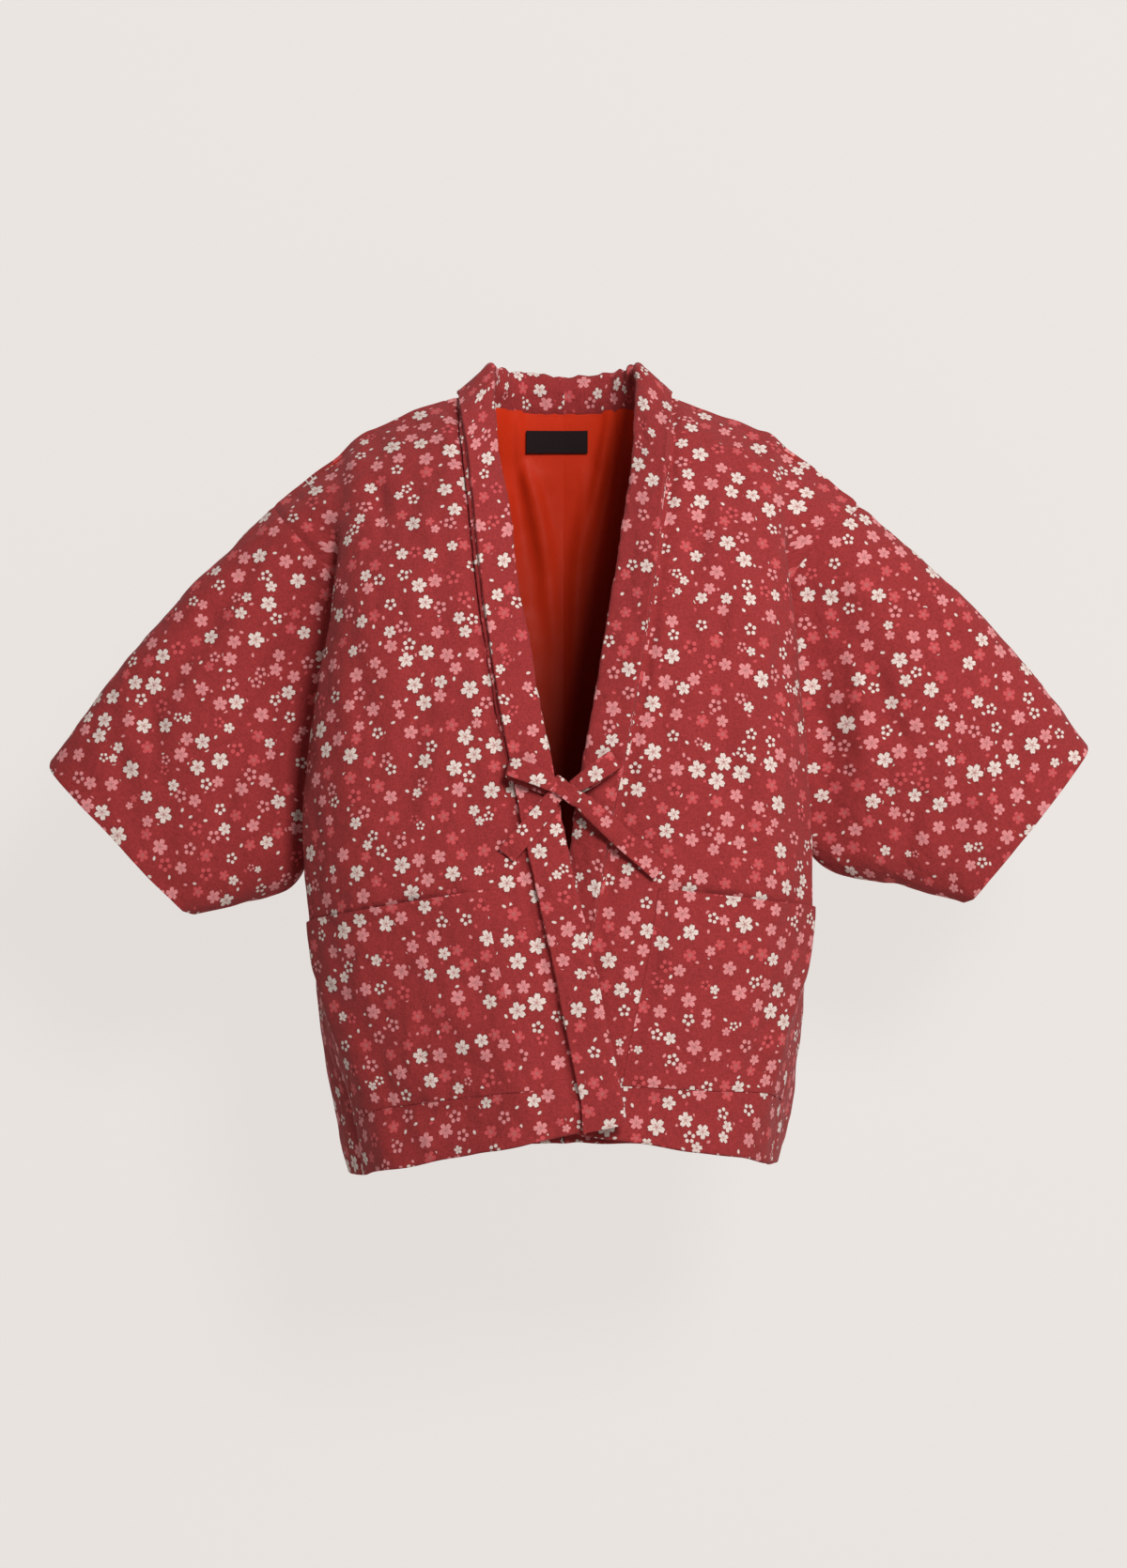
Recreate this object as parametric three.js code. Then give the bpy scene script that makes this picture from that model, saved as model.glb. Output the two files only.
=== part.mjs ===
// A short padded kimono jacket, filled out as if worn, with its fronts crossed and tied at the chest.
// Millimetres, +Z up, the fronts face -Y, and the wearer's right is at -X.
// The origin is the middle of the neck opening, level with the centre back neck seam.
// Each cut piece is a wall of cloth. Its outer face is a smooth sheet through a few named sections,
// and its inner face lies one wall thickness further in. Neighbours share their seam points,
// and each is drawn back from them by half a seam gap.

import * as THREE from 'three';

// Driving sizes
const WALL = 6;              // outer cloth, cotton wadding and lining together
const SEAM_GAP = 0.3;
const STEPS = 2;             // grid steps between two sections
const SLEEVE_STEPS = 3;
const COLLAR_BULGE = 5;      // how far the padded band stands proud of its base
const COLLAR_BACKING = 1;
const LINING_WALL = 1.2;
const LINING_CLEARANCE = 0.4;
const LINING_FOLD = 5;
const POCKET_WALL = 2;
const POCKET_CLEARANCE = 0.6;
const POCKET_PUFF = 2.6;
const POCKET_PUFF_FADE = 0.7;  // power by which the puff fades from mouth to lower edge
const SHOULDER_RISE = 4;     // the right shoulder line is a little arched
const LABEL = { left: 24, right: -37, top: -9, bottom: -31, wall: 0.9, columns: 4 };
const LABEL_PLANE = { y: 85.2, slope: 0.16, bow: 1 };
const RIBBON = { width: 19, wall: 2.4 };
const KNOT = { x: 2, y: -144.5, z: -365, width: 21, depth: 12.4, height: 24, around: 12, rings: 8 };

const RIGHT = -1;
const LEFT = 1;
const sideName = (side) => (side === RIGHT ? 'right' : 'left');

const table = (names, rows) =>
  rows.map((row) => Object.fromEntries(names.map((name, i) => [name, row[i]])));

// The band collar's two edges, from the neck point down to the hem.
// x is measured from the centre towards the piece's own side, so a crossed front goes below zero.
const BAND = table(
  ['seamRight', 'seamLeft', 'seamY', 'seamZ', 'freeRight', 'freeLeft', 'freeY', 'freeZ', 'tuckLeft', 'lift'],
  [
    [100, 103, 10, 18, 66, 69, 26, 46.5, 0, 0],
    [97, 103, -36, -15, 66, 69, -12, 0, 0, 0],
    [91, 99, -66, -60, 61, 66, -45, -51, 0, 0],
    [85, 92, -92, -112, 51, 58, -74, -104, 0, 0],
    [78, 85, -111, -170, 44, 49, -96, -163, 0, 0],
    [69, 75, -122, -235, 32, 38, -110, -228, 0, 0],
    [57, 63, -128, -305, 19, 26, -119, -298, 0, 0],
    [43, 49, -131, -378, 5, 12, -126, -371, 4, 4],
    [27, 36, -133, -450, -9, 4, -131, -443, 12, 14],
    [11, 24, -136, -520, -26, -12, -135, -513, 4, 15],
    [-3, 12, -138, -590, -41, -26, -138, -583, 0, 15],
    [-14, 3, -139, -645, -53, -37, -139, -638, 0, 15],
    [-18, -3, -140, -683, -59, -43, -140, -674, 0, 15],
  ],
);

// The same band from the neck point round to the centre back
const NECK = table(
  ['seamX', 'seamY', 'seamZ', 'freeX', 'freeY', 'freeZ'],
  [
    [87, 54, 13, 67, 54, 50],
    [46, 86, 9, 46, 77, 48],
    [0, 92, 8, 0, 84, 44],
  ],
);

// Front sections from shoulder to hem: the fold edge that makes the outline, the valley behind it,
// and the armhole or side seam. The right side hangs further out by lean and lower by drop, the left less.
const FRONT = table(
  ['edgeX', 'lean', 'drop', 'edgeY', 'edgeZ', 'turn', 'valleyX', 'valleyY', 'seamX', 'seamY', 'seamZ'],
  [
    [202.5, -3, 0, 10, -23, 0, 246, 10, 285, 10, -89],
    [204, 0, 0, -28, -58, 0.3, 238, -22, 268, -20, -108],
    [208, 1, 0, -48, -95, 0.6, 226, -36, 246, -31, -130],
    [212.5, 1.5, 0, -60, -138, 0.85, 211, -38, 223, -32, -158],
    [219.5, 1, 0, -67, -190, 1, 211, -41, 215, -28, -205],
    [227.5, 3, 0, -69, -252, 1, 218, -42, 215, -26, -260],
    [235, 6, 0, -69, -320, 1, 225, -42, 219, -24, -326],
    [240.5, 6, 0, -67, -392, 1, 232, -40, 225, -22, -396],
    [238.5, 4, 0, -66, -460, 1, 236, -44, 230, -27, -463],
    [230.5, 3, 0, -68, -530, 0.9, 231.5, -53, 230, -38, -533],
    [206, 2, 0, -88, -598, 0.5, 215, -68, 220, -47, -603],
    [184, -3, 2, -97, -657, 0.25, 198, -74, 206, -50, -666],
    [167, -3, 5, -101, -717, 0.15, 184, -75, 196, -50, -728],
  ],
);

// Back sections below the shoulder line, from the centre back seam out
const BACK = table(
  ['centreY', 'centreZ', 'edgeX', 'edgeY', 'edgeZ', 'turn', 'valleyX', 'valleyY', 'seamX', 'seamY'],
  [
    [100, -38, 204, 46, -57, 0.3, 238, 42, 268, 38],
    [107, -82, 209, 64, -95, 0.6, 228, 56, 246, 50],
    [110, -130, 215, 74, -138, 0.85, 215, 60, 225, 50],
    [111, -185, 219, 78, -190, 1, 214, 58, 218, 46],
    [110, -248, 224, 78, -252, 1, 220, 58, 218, 44],
    [108, -318, 229, 76, -320, 1, 226, 57, 221, 42],
    [107, -390, 233, 74, -392, 1, 232, 55, 226, 40],
    [109, -458, 233, 74, -460, 1, 235, 56, 231, 42],
    [113, -528, 228, 76, -530, 0.9, 235, 60, 232, 45],
    [119, -598, 207, 92, -600, 0.5, 218, 70, 222, 48],
    [125, -658, 186, 98, -660, 0.25, 199, 74, 206, 50],
    [130, -719, 169, 100, -727, 0.15, 184, 74, 196, 49],
  ],
);

// The sleeve's root goes nearly all the way round, and its sections are a little boxy.
const ROOT_TURN = 0.96;
const SECTION_POWER = 0.8;

// How far out each side gusset stands between its seams, from the underarm down
const UNDERARM_ROW = 7;
const GUSSET_DROP = 2;
const GUSSET = table(['sideRight', 'sideLeft'], [
  [230, 218],
  [240, 229],
  [241, 234],
  [234, 229],
  [223, 222],
  [208, 207],
]);

// Sleeve sections: the folded top, the bottom, and half of the thickness
const SLEEVE = table(
  ['topRightX', 'topRightZ', 'lowRightX', 'lowRightZ', 'topLeftX', 'topLeftZ', 'lowLeftX', 'lowLeftZ',
    'midY', 'halfDepth'],
  [
    [356, -163, 262, -456, 362, -154, 255, -442, 9, 52],
    [430, -245, 315, -476, 436, -230, 324, -458, 7, 47],
    [500, -342, 363, -486, 511, -324, 392, -475, 4, 37],
  ],
);

// Where the panel points stand between neck and fold edge, as shares of that width
const FRONT_SHARES = [0, 0.3, 0.58, 0.82, 1];
const BACK_SHARES = [0, 0.18, 0.34, 0.49, 0.63, 0.77, 0.9, 1];
const LIFT_SHARES = [1, 1, 0.35, 0, 0];

// Patch pockets: corners in sections across (0 at the neck seam) and down (0 at the shoulder)
const POCKET = {
  [RIGHT]: { mouthIn: [0.75, 8.07], mouthOut: [5.8, 8.6], lowIn: [0.75, 10.9], lowOut: [5.8, 11.25] },
  [LEFT]: { mouthIn: [0.9, 8.05], mouthOut: [5.8, 8.3], lowIn: [0.9, 10.85], lowOut: [5.8, 10.95] },
};
// A pocket's points stand on the same lines as its front's, and its ends follow its corners.
const POCKET_COLUMNS = [0, 1, 1.5, 2, 2.5, 3, 3.5, 4, 4.5, 5, 5.5, 6];
const POCKET_ROWS = [8, 8.5, 9, 9.5, 10, 10.5, 11, 11.5];
const POCKET_LEAST_STEP = 0.04;

// The largest soft troughs, as seen from in front or behind: ends, half width and depth
const TROUGHS = {
  front: table(
    ['side', 'x0', 'z0', 'x1', 'z1', 'width', 'depth'],
    [
      [LEFT, 101, -35, 97, -160, 8, 5],
      [LEFT, 137, -62, 128, -170, 9, 5],
      [LEFT, 170, -50, 160, -110, 9, 4],
      [RIGHT, 180, -60, 172, -125, 9, 5],
      [RIGHT, 128, -250, 150, -390, 14, 5],
      [LEFT, 150, -300, 176, -420, 14, 5],
    ],
  ),
  back: table(
    ['side', 'x0', 'z0', 'x1', 'z1', 'width', 'depth'],
    [
      [RIGHT, 190, -150, 120, -260, 14, 6],
      [LEFT, 188, -140, 110, -240, 14, 6],
      [RIGHT, 150, -330, 170, -560, 16, 6],
      [LEFT, 140, -300, 162, -540, 16, 6],
      [RIGHT, 70, -420, 76, -640, 18, 4],
      [LEFT, 60, -380, 70, -620, 18, 4],
    ],
  ),
  sleeve: table(
    ['side', 'x0', 'z0', 'x1', 'z1', 'width', 'depth'],
    [
      [LEFT, 344, -350, 322, -455, 10, 6],
      [LEFT, 268, -190, 330, -330, 14, 6],
      [RIGHT, 262, -210, 330, -380, 15, 7],
      [RIGHT, 330, -180, 400, -300, 13, 5],
    ],
  ),
};

const vec = (x, y, z) => new THREE.Vector3(x, y, z);
const mix = THREE.MathUtils.lerp;

// Uniform Catmull-Rom spline through the points; t counts sections from the first point.
function splinePoint(points, t) {
  const last = points.length - 1;
  const i = Math.min(Math.floor(t), last - 1);
  const f = t - i;
  const [b, c] = [points[i], points[i + 1]];
  const a = i > 0 ? points[i - 1] : b.clone().multiplyScalar(2).sub(c);
  const d = i + 2 <= last ? points[i + 2] : c.clone().multiplyScalar(2).sub(b);
  const weights = [
    -0.5 * f + f * f - 0.5 * f ** 3,
    1 - 2.5 * f * f + 1.5 * f ** 3,
    0.5 * f + 2 * f * f - 1.5 * f ** 3,
    -0.5 * f * f + 0.5 * f ** 3,
  ];
  const point = vec(0, 0, 0);
  [a, b, c, d].forEach((p, k) => point.addScaledVector(p, weights[k]));
  return point;
}

// A grid of points through control rows, with the same number of steps in every section
function gridThrough(controlRows) {
  const columns = (controlRows[0].length - 1) * STEPS;
  const rows = (controlRows.length - 1) * STEPS;
  const across = controlRows.map((row) =>
    Array.from({ length: columns + 1 }, (_, j) => splinePoint(row, j / STEPS)));
  return Array.from({ length: rows + 1 }, (_, i) =>
    Array.from({ length: columns + 1 }, (__, j) => splinePoint(across.map((row) => row[j]), i / STEPS)));
}

// Depth of the troughs at a place seen from in front: x from the centre outwards, and z.
// A trough is shallow at its ends and deepest in its middle, and fades out near a panel's edges.
const TROUGH_ENDS = 0.35;
const TROUGH_FADE = 2;
function troughDepth(list, side, x, z) {
  let depth = 0;
  for (const trough of list.filter((entry) => entry.side === side)) {
    const along = vec(trough.x1 - trough.x0, 0, trough.z1 - trough.z0);
    const from = vec(x - trough.x0, 0, z - trough.z0);
    const share = THREE.MathUtils.clamp(from.dot(along) / along.lengthSq(), 0, 1);
    const off = from.addScaledVector(along, -share).length() / trough.width;
    depth += trough.depth * Math.exp(-off * off) * mix(TROUGH_ENDS, 1, Math.sin(Math.PI * share));
  }
  return depth;
}

// A profile from the middle of a panel to its fold edge: 1 in the middle and 0 at the edge,
// gently bowed where turn is 0 and turned right round where it is 1
const BOW_POWER = { gentle: 2.4, turned: 2.6 };
const bow = (share, turn) =>
  mix(1 - share ** BOW_POWER.gentle, Math.sqrt(1 - share ** BOW_POWER.turned), turn);

const bandSeam = (side, row) => vec(
  side * (side === RIGHT ? row.seamRight : row.seamLeft),
  row.seamY - (side === RIGHT ? row.lift : 0),
  row.seamZ,
);
const bandFree = (side, row) => vec(
  side * (side === RIGHT ? row.freeRight : row.freeLeft),
  row.freeY + (side === RIGHT ? -row.lift : row.tuckLeft),
  row.freeZ,
);

// The outer end of a front or back section: fold edge, valley and seam
function outerPoints(side, row, { lean, drop, seamZ }) {
  const [out, down] = side === RIGHT ? [lean, -drop] : [-lean, drop];
  return [
    vec(side * (row.edgeX + out), row.edgeY, row.edgeZ + down),
    vec(side * (row.valleyX + out), row.valleyY, (row.edgeZ + seamZ) / 2 + down),
    vec(side * (row.seamX + out), row.seamY, seamZ + down),
  ];
}

function frontControl(side) {
  return FRONT.map((row, k) => {
    const band = bandSeam(side, BAND[k]);
    const [edge, valley, seam] = outerPoints(side, row, row);
    const lift = side === RIGHT ? BAND[k].lift : 0;
    const rise = side === RIGHT && k === 0 ? SHOULDER_RISE : 0;
    const chest = FRONT_SHARES.map((share, i) => {
      const flatY = BAND[k].seamY;
      const y = edge.y + (flatY - edge.y) * bow(share, row.turn) - lift * LIFT_SHARES[i];
      const z = mix(band.z, edge.z, share) + rise * Math.sin(Math.PI * share);
      return vec(mix(band.x, edge.x, share), y, z);
    });
    return [...chest, valley, seam];
  });
}

function backControl(side) {
  const shoulder = frontControl(side)[0];
  const neck = [...NECK].reverse().map((row) => vec(side * row.seamX, row.seamY, row.seamZ));
  const rows = BACK.map((row, k) => {
    const [edge, valley, seam] = outerPoints(side, row, FRONT[k + 1]);
    const panel = BACK_SHARES.map((share) => vec(
      edge.x * share,
      edge.y + (row.centreY - edge.y) * bow(share, row.turn),
      mix(row.centreZ, edge.z, share * share),
    ));
    return [...panel, valley, seam];
  });
  return [[...neck, ...shoulder], ...rows];
}

// Unit normals of a grid. A grid that closes on itself has its first column next to its last.
function gridNormals(grid, sign, closed = false) {
  const rows = grid.length;
  const columns = grid[0].length;
  return grid.map((row, i) => row.map((_, j) => {
    const before = closed ? row[(j + columns - 1) % columns] : row[Math.max(j - 1, 0)];
    const after = closed ? row[(j + 1) % columns] : row[Math.min(j + 1, columns - 1)];
    const above = grid[Math.max(i - 1, 0)][j];
    const below = grid[Math.min(i + 1, rows - 1)][j];
    const across = after.clone().sub(before);
    const down = below.clone().sub(above);
    return across.cross(down).multiplyScalar(sign).normalize();
  }));
}

function pressTroughs(grid, normals, list, side) {
  const lastRow = grid.length - 1;
  const lastColumn = grid[0].length - 1;
  return grid.map((row, i) => row.map((point, j) => {
    const fromEdge = Math.min(i, lastRow - i, j, lastColumn - j);
    const depth = fromEdge === 0 ? 0 : troughDepth(list, side, side * point.x, point.z);
    return point.clone().addScaledVector(normals[i][j], -depth * Math.min(1, fromEdge / TROUGH_FADE));
  }));
}

// Sheets of the outer faces, by node name
const sheets = new Map();
function addSheet(name, grid, sign, closed = false) {
  sheets.set(name, { grid, sign, closed, normals: gridNormals(grid, sign, closed) });
}

function frontSheet(side) {
  const flat = gridThrough(frontControl(side));
  const grid = pressTroughs(flat, gridNormals(flat, -side), TROUGHS.front, side);
  addSheet(`front_${sideName(side)}`, grid, -side);
}

// The back's top row takes its shoulder points from the front, so that the two meet.
function backSheet(side) {
  const front = sheets.get(`front_${sideName(side)}`).grid;
  const flat = gridThrough(backControl(side));
  const grid = pressTroughs(flat, gridNormals(flat, side), TROUGHS.back, side);
  const neckColumns = NECK.length * STEPS;
  front[0].forEach((point, j) => grid[0][neckColumns + j].copy(point));
  grid.forEach((row) => row[0].setX(0));
  addSheet(`back_${sideName(side)}`, grid, side);
}

const lastOf = (row) => row[row.length - 1];

function gussetSheet(side) {
  const front = sheets.get(`front_${sideName(side)}`).grid;
  const back = sheets.get(`back_${sideName(side)}`).grid;
  const first = UNDERARM_ROW * STEPS;
  const sidePoints = GUSSET.map((row, k) => {
    const seams = [lastOf(front[first + k * STEPS]), lastOf(back[first + k * STEPS])];
    const x = side === RIGHT ? -row.sideRight : row.sideLeft;
    return vec(x, (seams[0].y + seams[1].y) / 2, seams[0].z - GUSSET_DROP);
  });
  const grid = [];
  for (let i = first; i < front.length; i += 1) {
    const [a, c] = [lastOf(front[i]).clone(), lastOf(back[i]).clone()];
    const b = splinePoint(sidePoints, (i - first) / STEPS);
    grid.push([a, splinePoint([a, b, c], 0.5), b, splinePoint([a, b, c], 1.5), c]);
  }
  addSheet(`side_gusset_${sideName(side)}`, grid, -side);
}

// The sleeve's root goes down the front armhole, across the top of the gusset and up the back armhole.
function sleeveSheet(side) {
  const last = UNDERARM_ROW * STEPS;
  const down = sheets.get(`front_${sideName(side)}`).grid.slice(0, last + 1).map(lastOf);
  const up = sheets.get(`back_${sideName(side)}`).grid.slice(1, last + 1).map(lastOf).reverse();
  const across = sheets.get(`side_gusset_${sideName(side)}`).grid[0].slice(1, -1);
  const root = [...down, ...across, ...up];
  const height = down[0].z - down[last].z;
  const turnAt = (point, back) => {
    const share = THREE.MathUtils.clamp((down[0].z - point.z) / height, 0, 1);
    const angle = Math.acos(1 - 2 * share) * ROOT_TURN;
    return back ? 2 * Math.PI - angle : angle;
  };
  const angles = root.map((point, j) => {
    if (j <= last) return turnAt(point, false);
    if (j < last + 1 + across.length) {
      const share = (j - last) / (across.length + 1);
      return mix(turnAt(down[last], false), turnAt(up[0], true), share);
    }
    return turnAt(point, true);
  });
  const sections = SLEEVE.map((row) => {
    const top = side === RIGHT ? vec(-row.topRightX, row.midY, row.topRightZ)
      : vec(row.topLeftX, row.midY, row.topLeftZ);
    const low = side === RIGHT ? vec(-row.lowRightX, row.midY, row.lowRightZ)
      : vec(row.lowLeftX, row.midY, row.lowLeftZ);
    const middle = top.clone().add(low).multiplyScalar(0.5);
    const half = top.clone().sub(low).multiplyScalar(0.5);
    return angles.map((angle) => {
      const out = Math.sin(angle);
      const depth = Math.sign(out) * Math.abs(out) ** SECTION_POWER * row.halfDepth;
      return middle.clone().addScaledVector(half, Math.cos(angle)).sub(vec(0, depth, 0));
    });
  });
  const controls = [root, ...sections];
  const rows = (controls.length - 1) * SLEEVE_STEPS;
  const flat = Array.from({ length: rows + 1 }, (_, i) =>
    root.map((__, j) => splinePoint(controls.map((control) => control[j]), i / SLEEVE_STEPS)));
  const normals = gridNormals(flat, side, true);
  const grid = flat.map((row, i) => row.map((point, j) => {
    const fade = Math.min(1, i / TROUGH_FADE, (rows - i) / TROUGH_FADE);
    const depth = troughDepth(TROUGHS.sleeve, side, side * point.x, point.z) * fade;
    return point.clone().addScaledVector(normals[i][j], -depth);
  }));
  addSheet(`sleeve_${sideName(side)}`, grid, side, true);
}

// The band's base line: its seam points are the panels' own neck edges, from the hem to the centre back.
function bandSheet(side) {
  const front = sheets.get(`front_${sideName(side)}`).grid;
  const back = sheets.get(`back_${sideName(side)}`).grid;
  const seam = [
    ...[...front].reverse().map((row) => row[0]),
    ...Array.from({ length: NECK.length * STEPS }, (_, j) => back[0][NECK.length * STEPS - 1 - j]),
  ];
  const freeControl = [
    ...[...BAND].reverse().map((row) => bandFree(side, row)),
    ...NECK.map((row) => vec(side * row.freeX, row.freeY, row.freeZ)),
  ];
  const grid = seam.map((point, i) => [point.clone(), splinePoint(freeControl, i / STEPS)]);
  lastOf(grid)[1].setX(0);
  addSheet(`collar_${sideName(side)}`, grid, -side);
}

for (const side of [RIGHT, LEFT]) frontSheet(side);
for (const side of [RIGHT, LEFT]) backSheet(side);
for (const side of [RIGHT, LEFT]) {
  gussetSheet(side);
  sleeveSheet(side);
  bandSheet(side);
}

// Where pieces meet, all of them take the mean normal, so that their edges are mitred.
const PLACES_PER_MM = 20;
const placeKey = (p) => [p.x, p.y, p.z].map((n) => `${Math.round(n * PLACES_PER_MM) + 0}`).join(' ');
const shared = new Map();
for (const { grid, normals } of sheets.values()) {
  grid.forEach((row, i) => row.forEach((point, j) => {
    const key = placeKey(point);
    if (!shared.has(key)) shared.set(key, vec(0, 0, 0));
    shared.get(key).add(normals[i][j]);
  }));
}
const seamNormal = (point) => shared.get(placeKey(point)).clone().normalize();

// A point drawn back from the edges that it lies on, by half a seam gap
function drawBack(grid, i, j, closed) {
  const shift = vec(0, 0, 0);
  const pull = (ii, jj) => shift.add(grid[ii][jj].clone().sub(grid[i][j]).setLength(SEAM_GAP / 2));
  if (i === 0) pull(1, j);
  if (i === grid.length - 1) pull(i - 1, j);
  if (!closed && j === 0) pull(i, 1);
  if (!closed && j === grid[0].length - 1) pull(i, j - 1);
  return shift;
}

// A closed wall between an outer and an inner grid
function wallGeometry(outer, inner, closed = false) {
  const rows = outer.length;
  const columns = outer[0].length;
  const positions = [outer, inner].flatMap((grid) => grid.flat()).flatMap((p) => [p.x, p.y, p.z]);
  const at = (layer, i, j) => layer * rows * columns + i * columns + (j % columns);
  const index = [];
  const quad = (a, b, c, d) => index.push(a, b, c, a, c, d);
  const across = closed ? columns : columns - 1;
  for (let i = 0; i < rows - 1; i += 1) {
    for (let j = 0; j < across; j += 1) {
      quad(at(0, i, j), at(0, i + 1, j), at(0, i + 1, j + 1), at(0, i, j + 1));
      quad(at(1, i, j), at(1, i, j + 1), at(1, i + 1, j + 1), at(1, i + 1, j));
    }
  }
  for (let j = 0; j < across; j += 1) {
    quad(at(0, 0, j), at(0, 0, j + 1), at(1, 0, j + 1), at(1, 0, j));
    quad(at(0, rows - 1, j), at(1, rows - 1, j), at(1, rows - 1, j + 1), at(0, rows - 1, j + 1));
  }
  if (!closed) {
    for (let i = 0; i < rows - 1; i += 1) {
      quad(at(0, i, 0), at(1, i, 0), at(1, i + 1, 0), at(0, i + 1, 0));
      const j = columns - 1;
      quad(at(0, i, j), at(0, i + 1, j), at(1, i + 1, j), at(1, i, j));
    }
  }
  return solid(positions, index);
}

// Faces are turned to point out, whichever way round the grid was laid.
function solid(positions, index) {
  const corner = (i) => vec(...positions.slice(3 * i, 3 * i + 3));
  let volume = 0;
  for (let t = 0; t < index.length; t += 3) {
    volume += corner(index[t]).dot(corner(index[t + 1]).cross(corner(index[t + 2])));
  }
  const faces = volume < 0 ? [...index].reverse() : index;
  const geometry = new THREE.BufferGeometry();
  geometry.setAttribute('position', new THREE.Float32BufferAttribute(positions, 3));
  geometry.setIndex(faces);
  geometry.computeVertexNormals();
  return geometry;
}

function clothWall(name) {
  const { grid, normals, closed } = sheets.get(name);
  const onEdge = (i, j) => i === 0 || i === grid.length - 1
    || (!closed && (j === 0 || j === grid[0].length - 1));
  const outer = grid.map((row, i) => row.map((point, j) => point.clone().add(drawBack(grid, i, j, closed))));
  const inner = outer.map((row, i) => row.map((point, j) => {
    const normal = onEdge(i, j) ? seamNormal(grid[i][j]) : normals[i][j];
    return point.clone().addScaledVector(normal, -WALL);
  }));
  return wallGeometry(outer, inner, closed);
}

// The band's padded section: place across from seam to free edge, and height above its base
const BAND_NORMAL_BLEND = 2.5;  // the band leaves its seam's direction within 1 / 2.5 of its width
const BAND_SECTION = table(
  ['across', 'height'],
  [
    [0, 0],
    [0.12, COLLAR_BULGE * 0.7],
    [0.35, COLLAR_BULGE],
    [0.65, COLLAR_BULGE],
    [0.9, COLLAR_BULGE * 0.55],
    [1, -WALL / 2],
    [0.9, -WALL - COLLAR_BACKING * 0.3],
    [0.5, -WALL - COLLAR_BACKING],
    [0.12, -WALL - COLLAR_BACKING * 0.5],
    [0, -WALL],
  ],
);

function bandGeometry(name) {
  const { grid, normals } = sheets.get(name);
  const rings = grid.map(([seam, free], i) => {
    const across = free.clone().sub(seam);
    const atSeam = seamNormal(seam);
    const base = i === 0 || i === grid.length - 1 ? seamNormal(free) : normals[i][1];
    const end = drawBack(grid, i, 1, false).sub(across.clone().setLength(-SEAM_GAP / 2));
    const start = seam.clone().add(end).add(across.clone().setLength(SEAM_GAP / 2));
    return BAND_SECTION.map((place) => {
      const normal = atSeam.clone().lerp(base, Math.min(1, place.across * BAND_NORMAL_BLEND)).normalize();
      return start.clone().addScaledVector(across, place.across).addScaledVector(normal, place.height);
    });
  });
  return tubeGeometry(rings);
}

// A closed solid through rings, with flat ends
function tubeGeometry(rings) {
  const count = rings[0].length;
  const positions = rings.flat().flatMap((p) => [p.x, p.y, p.z]);
  const index = [];
  for (let i = 0; i < rings.length - 1; i += 1) {
    for (let j = 0; j < count; j += 1) {
      const [a, b] = [i * count + j, i * count + ((j + 1) % count)];
      index.push(a, b, b + count, a, b + count, a + count);
    }
  }
  const last = (rings.length - 1) * count;
  for (let j = 1; j < count - 1; j += 1) {
    index.push(0, j + 1, j);
    index.push(last, last + j, last + j + 1);
  }
  return solid(positions, index);
}

// A place on a sheet, counted in sections across and down, and its normal there
function onSheet(name, across, down) {
  const { grid, normals } = sheets.get(name);
  const [u, v] = [across * STEPS, down * STEPS];
  const i = Math.min(Math.floor(v), grid.length - 2);
  const j = Math.min(Math.floor(u), grid[0].length - 2);
  const blend = (g) => g[i][j].clone().lerp(g[i][j + 1], u - j)
    .lerp(g[i + 1][j].clone().lerp(g[i + 1][j + 1], u - j), v - i);
  return { point: blend(grid), normal: blend(normals).normalize() };
}

// A patch pocket lies on its front, puffed a little and open along its mouth.
function pocketGeometry(side) {
  const corners = POCKET[side];
  const layers = [[], []];
  POCKET_ROWS.forEach((gridRow, i) => {
    layers.forEach((layer) => layer.push([]));
    for (const gridColumn of POCKET_COLUMNS) {
      const across = THREE.MathUtils.clamp(gridColumn, corners.mouthIn[0], corners.mouthOut[0]);
      const over = (across - corners.mouthIn[0]) / (corners.mouthOut[0] - corners.mouthIn[0]);
      const mouth = mix(corners.mouthIn[1], corners.mouthOut[1], over);
      const low = mix(corners.lowIn[1], corners.lowOut[1], over);
      const fromLow = POCKET_ROWS.length - 1 - i;
      const down = THREE.MathUtils.clamp(
        gridRow,
        mouth + POCKET_LEAST_STEP * i,
        low - POCKET_LEAST_STEP * fromLow,
      );
      const { point, normal } = onSheet(`front_${sideName(side)}`, across, down);
      const above = Math.max(0, (low - down) / (low - mouth));
      const puff = POCKET_PUFF * Math.sin(Math.PI * over) * above ** POCKET_PUFF_FADE;
      [POCKET_CLEARANCE + puff, POCKET_CLEARANCE + puff + POCKET_WALL].forEach((height, k) => {
        layers[k][i].push(point.clone().addScaledVector(normal, height));
      });
    }
  });
  return wallGeometry(layers[1], layers[0]);
}

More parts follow.
